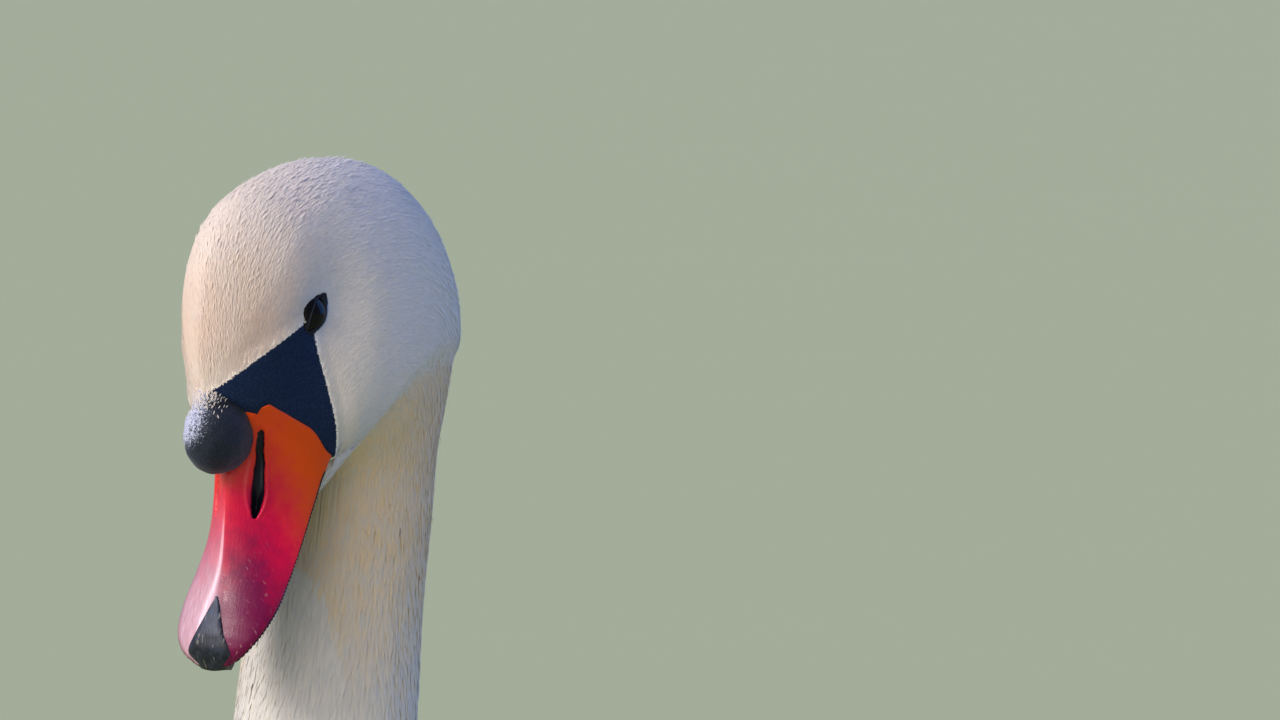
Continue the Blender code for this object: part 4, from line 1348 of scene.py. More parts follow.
# ---- sub-assemblies ------------------------------------------------------------------------
@dataclass
class Camera:
    """A long lens 5 m from the eye, ahead and to the left of the bird, aimed beside it."""

    azimuth: float = radians(34)
    elevation: float = radians(2)
    distance: float = 5.0
    frame_width: float = 0.4266667
    sensor: float = 36.0
    aside: float = 0.1271667
    below: float = 0.0158333

    def build(self) -> None:
        """Makes the camera and hands it to the scene."""
        data = bpy.data.cameras.new("camera")
        data.sensor_width = self.sensor
        data.lens = self.sensor * self.distance / self.frame_width
        data.clip_end = 2000
        item = bpy.data.objects.new("camera", data)
        right, toward = self.axes()
        back = toward * cos(self.elevation) + Vector((0, 0, sin(self.elevation)))
        eye = Vector((0, EYE_Y, EYE_Z))
        target = eye + right * self.aside - back.cross(right) * self.below
        item.location = eye + back * self.distance
        item.rotation_mode = "QUATERNION"
        item.rotation_quaternion = (item.location - target).to_track_quat("Z", "Y")
        bpy.context.scene.collection.objects.link(item)
        bpy.context.scene.camera = item

    def axes(self) -> tuple[Vector, Vector]:
        """Level directions to the right of the view and toward the camera."""
        c, s = cos(self.azimuth), sin(self.azimuth)
        return Vector((c, s, 0)), Vector((s, -c, 0))


@dataclass(frozen=True)
class Sun:
    """A far light: where it stands as right, toward the camera and up, its strength and
    colour, and its width in degrees."""

    name: str
    place: Triple
    strength: float
    colour: Triple
    width: float

    def build(self) -> None:
        """Makes the light, turned from where it stands toward the bird."""
        right, toward = Camera().axes()
        direction = right * self.place[0] + toward * self.place[1] + Vector((0, 0, self.place[2]))
        data = bpy.data.lights.new(self.name, "SUN")
        data.energy, data.color, data.angle = self.strength, self.colour, radians(self.width)
        item = bpy.data.objects.new(self.name, data)
        item.rotation_mode = "QUATERNION"
        item.rotation_quaternion = direction.to_track_quat("Z", "Y")
        bpy.context.scene.collection.objects.link(item)


@dataclass
class Studio:
    """Pale floor, soft lights and a cool sky.

    The warm key light stands to the left, ahead and above, with a small bright middle of its
    own. A weak cool one stands low on the left, a warm one in front, low and a little left,
    and a blue one behind on the right.
    """

    floor_half: float = 600.0
    suns: tuple[Sun, ...] = (
        Sun("key", (-0.70, 0.47, 0.53), 2.50, (1.0, 0.93, 0.89), 26),
        Sun("spark", (-0.70, 0.47, 0.53), 0.40, (1.0, 0.93, 0.89), 5),
        Sun("rim", (-0.96, -0.02, 0.28), 0.20, (0.85, 0.92, 1.0), 30),
        Sun("bounce", (-0.36, 0.90, 0.25), 1.20, (1.0, 0.93, 0.84), 50),
        Sun("fill", (0.82, -0.42, 0.30), 1.4, (0.08, 0.31, 1.0), 60),
    )
    sky: Triple = (0.47, 0.56, 0.95)
    sky_strength: float = 0.44

    def build(self) -> None:
        """Makes floor, lights and sky."""
        half = self.floor_half
        corners = [(-half, -half, 0), (half, -half, 0), (half, half, 0), (-half, half, 0)]
        mesh = bpy.data.meshes.new("floor")
        mesh.from_pydata(corners, [], [(0, 1, 2, 3)])
        floor = bpy.data.objects.new("floor", mesh)
        mesh.materials.append(Floor().material())
        bpy.context.scene.collection.objects.link(floor)
        for sun in self.suns:
            sun.build()
        world = bpy.data.worlds.new("sky")
        world.use_nodes = True
        background = world.node_tree.nodes["Background"].inputs
        background["Color"].default_value = (*self.sky, 1)
        background["Strength"].default_value = self.sky_strength
        bpy.context.scene.world = world
        bpy.context.scene.view_settings.view_transform = "Standard"


def skin_depth(along: Array, outside: Array) -> Array:
    """Depth of the skin under the coat's outside: the coat's own depth where it has room."""
    return UNDER + coat_depth(along)[:, None] * room(outside)


@dataclass
class Flesh:
    """The one skin of trunk, neck, head and thighs, under the coat."""

    around: int = 260
    # Section where a stretch starts, and the number of its rings.
    rings: tuple[tuple[int, int], ...] = ((0, 60), (8, 50), (12, 36), (NECK_END + 3, 150))
    end: float = 0.002          # how far before the last section the tube ends
    under_bill: float = 0.0020  # how far the skin draws back under the horn
    socket: float = 0.0050      # depth of the hollow that holds each eye

    def places(self) -> Array:
        """Distances along the tube, close together on the head."""
        parts = [np.linspace(ALONG[a], ALONG[b], count, endpoint=False)
                 for (a, count), (b, _) in zip(self.rings, self.rings[1:])]
        last, count = self.rings[-1]
        return np.concatenate([*parts, np.linspace(ALONG[last], ALONG[-1] - self.end, count)])

    def build(self) -> None:
        """Makes the skin as closed shells in one mesh: the tube, the chin, and both thighs."""
        along, turn = self.places(), full_turn(self.around)
        outside = body_surface(along, turn)
        forward, up = to_head(outside)
        under = ease(forward - Bill().starts(up), 0.0004, 0.0016)
        under = self.under_bill * under * (outside[..., 2] > HEAD_FLOOR)
        points = body_surface(along, turn, skin_depth(along, outside) + under)
        beside = np.abs(points[..., 0]) > 0.01
        reach = -lid_reach(forward, up)
        points[..., 0] -= (np.sign(points[..., 0]) * ease(reach, -1.35, -0.95) * beside
                           * self.socket)
        dark = np.maximum(lore(outside, 0.0014), ease(reach, -1.0, -0.9) * beside)
        fabric = Fabric().shell(points, dark, markings)
        fabric.shell(chin_surface(Plume.chin_depth), tone=markings)
        for side in (1, -1):
            fabric.shell(thigh_surface(Plume.thigh_depth) * (side, 1, 1), tone=markings)
        fabric.made("skin", Skin(), Slot.DOWN, "trunk", "neck_lower", "neck_middle",
                    "neck_upper", "head", "thigh_left", "thigh_right")


@dataclass
class Plume:
    """All small feathers of head, neck, trunk and thighs."""

    face_tufts: int = 56000
    face_grid: tuple[int, int] = (330, 420)
    chin_depth: float = 0.0010
    thigh_depth: float = 0.006
    # Forehead and crown, whose feathers stand up and so face less sideways. The line where
    # that ends: height over the eye, and reach to the side less the way ahead of the eye.
    brow_line: tuple[tuple[float, float], ...] = (
        (-0.0200, -0.0140), (-0.0162, -0.0115), (-0.0105, -0.0078), (0.0000, -0.0012),
        (0.0102, 0.0065), (0.0155, 0.0092), (0.0310, 0.0175), (0.0392, 0.0265),
        (0.0448, 0.0335), (0.0488, 0.0405),
    )
    brow_turn: float = radians(34.0)
    raised: float = 0.40   # how much less sideways feathers face inside the line
    turned: float = 0.50   # how much more sideways they face outside it, on the left side
    large: Plumage = Plumage(name="contour_feathers", barbs=26.0, shaft=0.05)
    tuft: Vane = Vane(wander=0.11, tilt=0.04)
    chin_tuft: Vane = Vane(wander=0.15, tilt=0.09, fall=0.25)
    thigh_feather: Vane = Vane(rows=5, cols=3, wander=0.12, tilt=0.08, fall=0.2, root=0.4,
                               widest=0.5, ragged=0.08)
    lock: Growth = Growth(
        Vane(rows=4, cols=3, wander=0.09, tilt=0.07, fall=0.16, root=0.45, widest=0.35,
             ragged=0.08),
        length=(0.0085, 0.0075), width=(0.0014, 0.0017), high=(0.0006, 0.0010),
        root=(0, 0.0002), longer=(0.8, 1.2), higher=(0.75, 1.1))
    breast: Growth = Growth(
        Vane(rows=5, cols=3, wander=0.10, tilt=0.08, fall=0.22, root=0.4, widest=0.5, tip=0.1,
             ragged=0.06),
        length=(0.0140, 0.0120), width=(0.0048, 0.0080), high=(0.0020, 0.0032),
        root=(0, 0.0006), longer=(0.85, 1.15), higher=(0.8, 1.1))
    contour: Growth = Growth(
        Vane(rows=7, cols=5, wander=0.09, tilt=0.06, fall=0.14, widest=0.6, tip=0.25,
             ragged=0.05),
        length=(0.040, -0.012), width=(0.023, -0.009), high=(0.0080, -0.002),
        root=(0.0003, 0.0015), longer=(0.85, 1.15), higher=(0.75, 1.0))

    def build(self) -> None:
        """Makes the coat of every stretch, from the face down."""
        self.face()
        self.upper_neck()
        self.lower_neck()
        self.trunk()
        self.thighs()

    def tube(self, start: float, end: float, rows: int, cols: int) -> Lattice:
        """The skin between two distances along the tube, as a surface for feathers."""
        along, turn = np.linspace(start, end, rows), full_turn(cols)
        depth = skin_depth(along, body_surface(along, turn))
        return Lattice(body_surface(along, turn, depth))

    def open_face(self, points: Array) -> Array:
        """Whether feathers grow: not on the black face, the bill's base and the eye."""
        forward, up = to_head(points)
        taller = 0.0015 - 0.0010 * ease(up - ALMOND[1], -0.0005, 0.0010)
        beside_eye = lid_reach(forward, up, 0.0012, taller) > 1
        behind_bill = forward < np.where(up < -0.029, 0.0395, 0.046)
        return (into_lore(points) < 0.0008) & beside_eye & behind_bill

    def head(self) -> Lattice:
        """The head's skin, with the normals that its feathers shade by.

        Along the crest the normals are means of their neighbours' at growing distances. The
        sideways part is then made less inside the brow line, and more just outside it on the
        bird's left, where the feathers' sides turn out.
        """
        lattice = self.tube(ALONG[NECK_END - 1], ALONG[-1] - 0.0015, *self.face_grid)
        soft = lattice.normals
        for step in (1, 2, 4, 8, 12, 16) * 4:
            soft = (np.roll(soft, step, 1) + 2 * soft + np.roll(soft, -step, 1)) / 4
        x, y, z = np.moveaxis(lattice.points, -1, 0)
        crest = bell(x[..., None] / 0.012)
        normals = lattice.normals * (1 - crest) + soft * crest
        ahead, above = EYE_Y - y, z - EYE_Z
        beside = np.abs(x) * cos(self.brow_turn) - ahead * sin(self.brow_turn)
        brow = np.interp(above, *np.array(self.brow_line).T) - beside
        inside = ease(brow, -0.0025, 0.0045)
        front = ease(above, -0.024, -0.014) * ease(-above, -0.050, -0.034)
        normals[..., 0] *= 1 - self.raised * inside * front
        outside = ease(brow, -0.0200, -0.0040) * (1 - inside) * (x > 0)
        normals[..., 0] *= 1 + self.turned * outside
        lattice.normals = normals / np.linalg.norm(normals, axis=-1, keepdims=True)
        return lattice

    def near_eye(self, points: Array, whole: float, reach: float) -> Array:
        """Bell round the face's middle, 12 mm ahead of the eye: 1 within whole, then falling
        over reach."""
        forward, up = to_head(points)
        return bell(np.maximum(np.hypot(forward - 0.012, up) - whole, 0) / reach)

    def face(self) -> None:
        """Tiny tufts over the head: shortest by eye and bill, longer down the neck, and here
        and there one that stands up."""
        lattice = self.head()
        weight = 0.80 + 0.75 * self.near_eye(lattice.points, 0.012, 0.030)
        weight = weight * (np.linspace(0, 1, self.face_grid[0])[:, None] > 0.05)
        for word, side, seed in (("left", 1, 11), ("right", -1, 12)):
            on_side = lattice.points[..., 0] * side > -0.0012
            u, v = lattice.scatter(self.face_tufts, weight * on_side, seed)
            roots = lattice.read(lattice.points, u, v)
            edge = np.random.default_rng(seed).normal(0, 0.0003, len(u))
            shown = self.open_face(roots) & (into_lore(roots) < edge)
            u, v, roots = u[shown], v[shown], roots[shown]
            rng, count = np.random.default_rng(seed + 100), len(u)
            close = self.near_eye(roots, 0.014, 0.022)
            down = ease(-roots[:, 2], -0.985, -0.935)
            free = 0.25 + 0.75 * room(roots)
            length = (0.0048 - 0.0022 * close + 0.0030 * down) * rng.uniform(0.8, 1.15, count)
            width = 0.00086 - 0.00026 * close + 0.0006 * down
            high = (0.00038 - 0.00008 * close + 0.0006 * down) * free
            wild = (rng.uniform(0, 1, count) > 0.970) * rng.uniform(0.0002, 0.0010, count)
            low = rng.uniform(-0.0001, 0.0001, count)
            tip = low + high * rng.uniform(0.7, 1.1, count) + wild * (1 - close) * free
            bed = Bed(lattice, self.tuft, u, v)
            fabric = bed.lay(Fabric(), length, width, low, tip, seed)
            if side > 0:
                self.chin(fabric)
            fabric.made(f"coat_face_{word}", Plumage(), Slot.CREAM)

    def chin(self, fabric: Fabric) -> None:
        """Tufts on the chin wedge, lying backward."""
        lattice = Lattice(chin_surface(self.chin_depth))
        bed = Bed(lattice, self.chin_tuft, *lattice.scatter(9000, 1.0, 31))
        bed.lay(fabric, length=0.0036, width=0.0007, low=0.0, high=0.0008, seed=32)

    def upper_neck(self) -> None:
        """Short pointed locks below the head, growing longer down the neck."""
        lattice = self.tube(ALONG[9], ALONG[NECK_END + 1], 240, 260)
        share = np.linspace(0, 1, lattice.rows)[:, None]
        u, v = lattice.scatter(15000, (0.5 + 1.6 * share**2) * (share > 0.02), 41)
        fabric = self.lock.lay(Fabric(), lattice, u, v, 1 - u, (141, 42))
        fabric.made("coat_upper_neck", Plumage(), Slot.DOWN)

    def lower_neck(self) -> None:
        """Rounder feathers from the middle of the neck into the breast."""
        lattice = self.tube(ALONG[6], ALONG[9] + 0.02, 150, 220)
        share = np.linspace(0, 1, lattice.rows)[:, None]
        u, v = lattice.scatter(7600, 0.35 + 1.5 * share**1.5, 51)
        fabric = self.breast.lay(Fabric(), lattice, u, v, 1 - u, (151, 52))
        fabric.made("coat_lower_neck", Plumage(), Slot.DOWN)

    def trunk(self) -> None:
        """Broad soft feathers on back and belly, smaller toward the breast, in rows that
        overlap by two thirds."""
        lattice = self.tube(0.0, ALONG[7], 160, 240)
        share, height = np.linspace(0, 1, lattice.rows)[:, None], np.cos(full_turn(lattice.cols))
        weight = (0.75 + 0.8 * share**3) * (share > 0)
        for word, count, seed, half in (("back", 2300, 61, height > -0.15),
                                        ("belly", 3300, 62, height <= 0.05)):
            u, v = lattice.scatter(count, weight * half, seed)
            fabric = self.contour.lay(Fabric(), lattice, u, v, ease(u, 0.55, 1.0),
                                      (seed + 100, seed + 1))
            fabric.made(f"coat_{word}", self.large, Slot.DOWN)

    def thighs(self) -> None:
        """Short drooping feathers on the thighs."""
        lattice = Lattice(thigh_surface(self.thigh_depth))
        bed = Bed(lattice, self.thigh_feather, *lattice.scatter(1500, 1.0, 71))
        fabric = bed.lay(Fabric(), length=0.018, width=0.0072, low=0.0005, high=0.0055, seed=72)
        fabric.made("coat_thigh_left", self.large, Slot.DOWN)
        fabric.mirrored().made("coat_thigh_right", self.large, Slot.DOWN)


@dataclass
class Bill:
    """Upper bill with its nostrils, the nail at its tip, and the lower bill behind it."""

    rows: int = 230
    cols: int = 190
    roof: float = 0.0048       # height of the flat roof under the knob
    middle: float = -0.030     # height that the bill's walls are sunk toward
    arch: float = 1.33         # squareness of the head's own arch at the base
    start: float = 0.0336      # how far forward the horn starts down the side
    root: float = 0.034        # where the horn's colours start along the bill
    mouth: float = -0.029      # height of the palate
    wall: float = 0.0010

    def build(self) -> None:
        """Makes the three pieces."""
        self.upper()
        self.lower()
        self.nail()

    def profile(self, forward: Array, share: Array) -> tuple[Array, Array]:
        """x and up of the upper bill's outside.

        Forward of its base each ring is a squared arch from edge to ridge. Toward the base
        it takes on the head's own width up to a flat roof, which lies under the knob, so that
        face and bill run into each other.

        Args:
            forward: distances forward, shape (rows, points).
            share: place round the arch, -1 at one edge, 0 on the ridge, 1 at the other edge.

        Returns:
            x and up, each of shape (rows, points).
        """
        edge, rise, width, above = along_table(forward, UPPER_BILL)
        above = above * (1 - 0.14 * bell((forward - 0.076) / 0.020))
        c, s = np.clip(np.cos(share * pi / 2), 0, 1), np.abs(np.sin(share * pi / 2))
        up, x = edge + rise * c ** (2 / above), width * s ** (2 / above)
        head_up = edge + (self.roof - edge) * c**self.arch
        head_x = half_width(np.minimum(forward, 0.0398), head_up) + 0.0003
        head_x = head_x * np.clip(np.abs(share) * 5, 0, 1) ** 0.5
        mixed = ease(forward, 0.0345, 0.0470)
        x = np.sign(share) * (x * mixed + head_x * (1 - mixed))
        return x, up * mixed + head_up * (1 - mixed)

    def base(self, share: Array) -> Array:
        """How far forward the horn starts at a place round the arch."""
        c = np.clip(np.cos(share * pi / 2), 0, 1)
        return self.starts(self.middle + (self.roof - self.middle) * c**self.arch)

    def starts(self, up: Array) -> Array:
        """How far forward the horn starts at a height: further on at gape and roof."""
        gape, roof = ease(-up, 0.015, 0.028), ease(up, 0.0020, 0.0044)
        return self.start + 0.0032 * gape + 0.0036 * roof

    def slot(self, forward: Array, up: Array) -> tuple[Array, Array]:
        """Place along the nostril's slot, 0 to 1, and across it as a share of its half width,
        middle and half width running smoothly through the nostril's table."""
        start, end = NOSTRIL[0, 0], NOSTRIL[-1, 0]
        middle, wide = along_table(np.clip(forward, start, end), NOSTRIL)
        return (forward - start) / (end - start), (up - middle) / wide

    def sunk(self, x: Array, up: Array, inward: Array) -> tuple[Array, Array]:
        """x and up moved a distance inward, toward the bill's middle."""
        kept = 1 - inward / np.maximum(np.hypot(x, up - self.middle), 1e-4)
        return x * kept, self.middle + (up - self.middle) * kept

    def upper(self) -> None:
        """The upper bill: its outside, then its inside a wall's thickness in, as one closed
        shell. The nostril is a slot with a deeper pit and a low lip, and the cutting edge is
        waved by lamellae."""
        even = np.linspace(-1, 1, self.cols)[None, :]
        share = np.sin(even * pi / 2) * 0.25 + even * 0.75
        start = self.base(share)
        forward = start + (BILL_TIP - start) * np.linspace(0, 1, self.rows)[:, None] ** 0.96
        x, up = self.profile(forward, share)
        t, across = self.slot(forward, up)
        within = ease(t, 0.0, 0.06) * ease(-t, -1.0, -0.95)
        nostril = np.clip(1 - across**2, 0, 1) * within
        pit = bell((t - 0.80) / 0.13, (across - 0.1) / 0.7) * (nostril > 0)
        lip = bell((np.abs(across) - 1.35) / 0.3) * within
        tucked = 1 - ease(forward - start, 0.0, 0.0014)
        inward = 0.0020 * nostril**0.6 + 0.0030 * pit - 0.0003 * lip + 0.0009 * tucked
        x, up = self.sunk(x, up, inward)
        lamella = np.sin(forward * 2 * pi / 0.0014) * ease(forward, 0.045, 0.055)
        x = x + np.sign(x) * 0.00025 * lamella * ease(np.abs(share), 0.965, 1.0)
        outside = np.stack([x, *from_head(forward, up)], axis=-1)
        inner_up = np.minimum(up - self.wall, self.mouth)
        inside = np.stack([x * 0.90, *from_head(forward, inner_up)], axis=-1)
        rings = np.concatenate([outside, inside[:, ::-1]], axis=1)
        bare = self.marks(forward, share, x, nostril)
        Fabric().shell(rings, bare).made("upper_bill", BillHorn(), Slot.ORANGE, "bill_upper")

    def marks(self, forward: Array, share: Array, x: Array, nostril: Array) -> Array:
        """What the horn carries: way from base to tip, black and painted sheen.

        Black are the nostril, the cutting edge and a line round the nail. The painted sheen, a
        painted reflection and highlight, lies on the right side toward the tip, with a narrow
        painted highlight streak beside the ridge.

        Args:
            forward: distances forward, shape (rows, points).
            share: place round the arch.
            x: place to the side.
            nostril: share of the nostril's slot.

        Returns:
            Outside then inside of each ring, shape (rows, twice the points, 3).
        """
        shield = np.interp(forward, NAIL[:, 0], NAIL[:, 1], left=-1)
        round_nail = 0.50 * bell((np.abs(x) - shield) / 0.0010) * ease(forward, 0.0945, 0.0960)
        edge = ease(np.abs(share), 0.930 - 0.045 * ease(forward, 0.080, 0.115), 0.965)
        edge = edge * ease(forward, 0.040, 0.046)
        black = np.maximum(np.maximum(ease(nostril, 0.05, 0.45), round_nail), edge)
        # painted sheen: painted reflection on the right side toward the tip, and a painted
        # highlight streak by the ridge
        side = ease(-share, -0.10, 0.10) * ease(share, -0.99, -0.55)
        painted_highlight_streak = bell((share + 0.07 + 0.12 * ease(forward, 0.080, 0.108)) / 0.050)
        sheen_and_painted_sheen = (0.50 * side * ease(forward, 0.056, 0.100)
                 + 0.46 * painted_highlight_streak * ease(forward, 0.064, 0.078))
        way = (forward - self.root) / (BILL_TIP - self.root)
        way = way - 0.13 * ease(share, 0.50, 0.95) + 0.10 * bell((share - 0.42) / 0.20)
        out = np.stack([way, black, sheen_and_painted_sheen], axis=-1)
        back = np.stack([way, np.maximum(black, 0.8), 0 * sheen_and_painted_sheen], axis=-1)
        return np.concatenate([out, back[:, ::-1]], axis=1)

    def lower(self) -> None:
        """The lower bill: half-round below the edge."""
        places = np.linspace(LOWER_BILL[0, 0], LOWER_BILL[-1, 0], 90)[:, None]
        depth, width = along_table(places, LOWER_BILL)
        edge, turn = along_table(places, UPPER_BILL)[0], np.linspace(-pi / 2, pi / 2, 40)[None, :]
        up = edge + 0.0004 - depth * np.abs(np.cos(turn)) ** 0.8
        rows = np.stack([width * np.sin(turn), *from_head(places + 0 * turn, up)], axis=-1)
        Fabric().shell(rows).made("lower_bill", BlackKnob(name="black_bill"), Slot.BLACK,
                                  "bill_lower")

    def nail(self) -> None:
        """The nail: a shield let into the tip, pointed behind and hooked down in front, and
        paler toward its middle."""
        places, q = np.linspace(NAIL[0, 0], NAIL[-1, 0], 60)[:, None], np.linspace(-1, 1, 50)
        x = q * along_table(places, NAIL)[0]
        edge, rise, width, above = along_table(places, UPPER_BILL)
        ridge = edge + rise * np.clip(1 - np.abs(x / width) ** above, 0, 1) ** (1 / above)
        hook = ease(places, 0.1105, 0.1168)
        swell = 0.0006 * (1 - np.abs(q) ** 6) + 0.0005 * np.sin(pi * ease(places, 0.095, 0.116))
        top = ridge + swell - 0.0018 * hook**2
        low = np.minimum(ridge, top) - 0.0016
        forward = places + 0.0014 * hook * (1 - q**2)
        above, below = (np.stack([x, *from_head(forward, up)], -1) for up in (top, low))
        pale = ease(-places, -0.1125, -0.1030) * (1 - 0.5 * ease(np.abs(q), 0.60, 1.0))
        fabric = Fabric().shell(np.concatenate([above, below[:, ::-1]], axis=1),
                                np.concatenate([pale, pale[:, ::-1]], axis=1))
        fabric.made("nail", DarkHorn(), Slot.DARK, "bill_nail")


@dataclass
class Knob:
    """The knob over the bill's base, running into the black face behind it."""

    # forward, up, reach forward, sideways, up
    lobes: tuple[tuple[float, ...], ...] = (
        (0.0462, 0.0038, 0.0138, 0.0106, 0.0120),
        (0.0362, 0.0090, 0.0100, 0.0072, 0.0090),
        (0.0440, -0.0010, 0.0130, 0.0088, 0.0110),
    )
    middle: Triple = (0.0440, 0.0, 0.0020)
    hard: float = 1200.0   # how sharply the furthest lobe wins
    lumps: float = 0.018
    tufts: int = 1500
    tuft: Vane = Vane(wander=0.5)

    def surface(self) -> Array:
        """Points round one middle: in every direction the soft maximum of the distances out
        of the lobes, with low lumps."""
        polar, turn = np.linspace(0.02, pi - 0.02, 90)[:, None], full_turn(120)
        way = np.stack([np.cos(polar) + 0 * turn, np.sin(polar) * np.cos(turn),
                        np.sin(polar) * np.sin(turn)], axis=-1)
        middle, total = np.array(self.middle), 0.0
        for f, u, *reaches in self.lobes:
            radii = np.array(reaches)
            start, step = (middle - np.array([f, 0, u])) / radii, way / radii
            a, b, c = (step**2).sum(-1), (step * start).sum(-1), (start**2).sum() - 1
            far = (-b + np.sqrt(np.maximum(b * b - a * c, 0))) / a
            total = total + np.exp(far * self.hard)
        waves = np.sin(way * (9, 11, 10) + (1, 2, 0)).prod(axis=-1)
        far = np.log(total) / self.hard * (1 + self.lumps * waves)
        forward, x, up = np.moveaxis(middle + way * far[..., None], -1, 0)
        return np.stack([x, *from_head(forward, up)], axis=-1)

    def frost_and_painted_light(self, points: Array) -> Array:
        """Share of pale down: most at the root and on the right, none at the knob's end. Its
        rise toward the bird's right side is painted light, where the key light falls.
        """
        forward, up = to_head(points)
        # the term in x is painted light: paler toward the bird's right side, where the key light
        # falls
        share = 0.42 + (up - 0.0080) / 0.020 - (points[..., 0] + 0.003) / 0.020
        return np.clip(share, 0, 1) * ease(-forward, -0.062, -0.052)

    def build(self) -> None:
        """Makes the knob, and sparse down where it grows out of the forehead."""
        points = self.surface()
        fabric = Fabric().shell(points, self.frost_and_painted_light(points))
        fabric.made("brow_knob", BlackKnob(), Slot.BLACK, "knob")
        lattice = Lattice(points)
        forward, up = to_head(points)
        # the down follows the same share, so it is thicker on the side with the painted light
        thick = self.frost_and_painted_light(points) ** 1.5 * ease(-forward, -0.049, -0.036) ** 2 * (up > 0.002)
        u, v = lattice.scatter(self.tufts, thick, 81)
        low = np.random.default_rng(82).uniform(-0.0001, 0.0001, len(u))
        down = Bed(lattice, self.tuft, u, v, onward=1.0).lay(
            Fabric(), length=0.0013, width=0.00036, low=low, high=low + 0.0004, seed=83)
        down.made("coat_knob", Plumage(), Slot.CREAM)


@dataclass
class Eye:
    """Both eyeballs and their lids."""

    cornea: float = 0.045       # share by which the cornea bulges
    lid_width: float = 0.0021
    lid_wall: float = 0.0012

    def build(self) -> None:
        """Makes ball and lids of the left eye and mirrors them."""
        ball, lids = self.ball(), self.lids()
        for word, eye, lid in (("left", ball, lids), ("right", ball.mirrored(), lids.mirrored())):
            eye.made(f"eyeball_{word}", EyeGloss(), Slot.EYE, f"eye_{word}")
            lid.made(f"lids_{word}", LidSkin(), Slot.BLACK)

    def ball(self) -> Fabric:
        """A sphere whose pole faces outwards, with the cornea's low bulge round it. It carries
        the angle from the pole, in quarter turns."""
        polar, turn = np.linspace(0.02, pi - 0.02, 48)[:, None], full_turn(64)
        radius = EYE_RADIUS * (1 + self.cornea * bell(polar / 0.55))
        x = EYE_OUT + radius * np.cos(polar) + 0 * turn
        y = EYE_Y + radius * np.sin(polar) * np.cos(turn)
        z = EYE_Z + radius * np.sin(polar) * np.sin(turn)
        return Fabric().shell(np.stack([x, y, z], axis=-1), polar / (pi / 2))

    def almond(self, turn: Array, grow: Array | float) -> tuple[Array, Array]:
        """Forward and up of an almond round the eye: an ellipse drawn out to a point ahead
        and behind."""
        f, u, reach_f, reach_u = ALMOND
        c, s = np.cos(turn), np.sin(turn)
        forward = f + (reach_f - 0.0003 + grow) * c * (1 + 0.16 * c**8)
        return forward, u - 0.0002 + (reach_u - 0.0001 + grow) * s * (1 - 0.10 * c**2)

    def lids(self) -> Fabric:
        """A rounded band round the eye: its inner edge rests on the ball, and its outer edge
        goes under the coat. It carries the way across, the upper lid's middle and the lower
        lid."""
        turn, across = full_turn(96), np.linspace(0, 1, 15)[:, None]
        grow = self.lid_width * across * (0.40 + 0.60 * ease(-np.sin(turn), -0.30, 0.30))
        forward, up = self.almond(turn, grow)
        edge_f, edge_u = self.almond(turn, 0.0)
        ball = np.clip((EYE_RADIUS * 1.012) ** 2 - edge_f**2 - edge_u**2, 0, 1)
        skin = relief(np.stack([half_width(forward, up), *from_head(forward, up)], axis=-1))
        out = ease(across, 0, 1)
        x = (EYE_OUT + np.sqrt(ball)) * (1 - out) + (skin[..., 0] - 0.0007) * out
        x = x + 0.0004 * np.sin(pi * across**0.7)
        outside = np.stack([x, *from_head(forward, up)], axis=-1)
        rings = np.concatenate([outside, outside[::-1] - (self.lid_wall, 0, 0)])
        rows, cols, _ = rings.shape
        flat = rings.reshape(-1, 3)
        front, rear = ease(edge_f, 0.0032, 0.0056), ease(-edge_f, 0.0024, 0.0042)
        bare = np.zeros((rows, cols, 3))
        bare[..., 0] = np.concatenate([across, across[::-1]]) * (1 - front) * (1 - 0.75 * rear)
        bare[..., 1] = ease(edge_u, 0.0010, 0.0035) * ease(-np.abs(edge_f), -0.0050, -0.0030)
        bare[..., 2] = ease(-edge_u, -0.0012, 0.0006)
        wrapped = [grid_faces(rows + 1, cols, True)[0] % len(flat)]
        return Fabric().add(flat, facing_out(flat, wrapped), bare=bare.reshape(-1, 3))


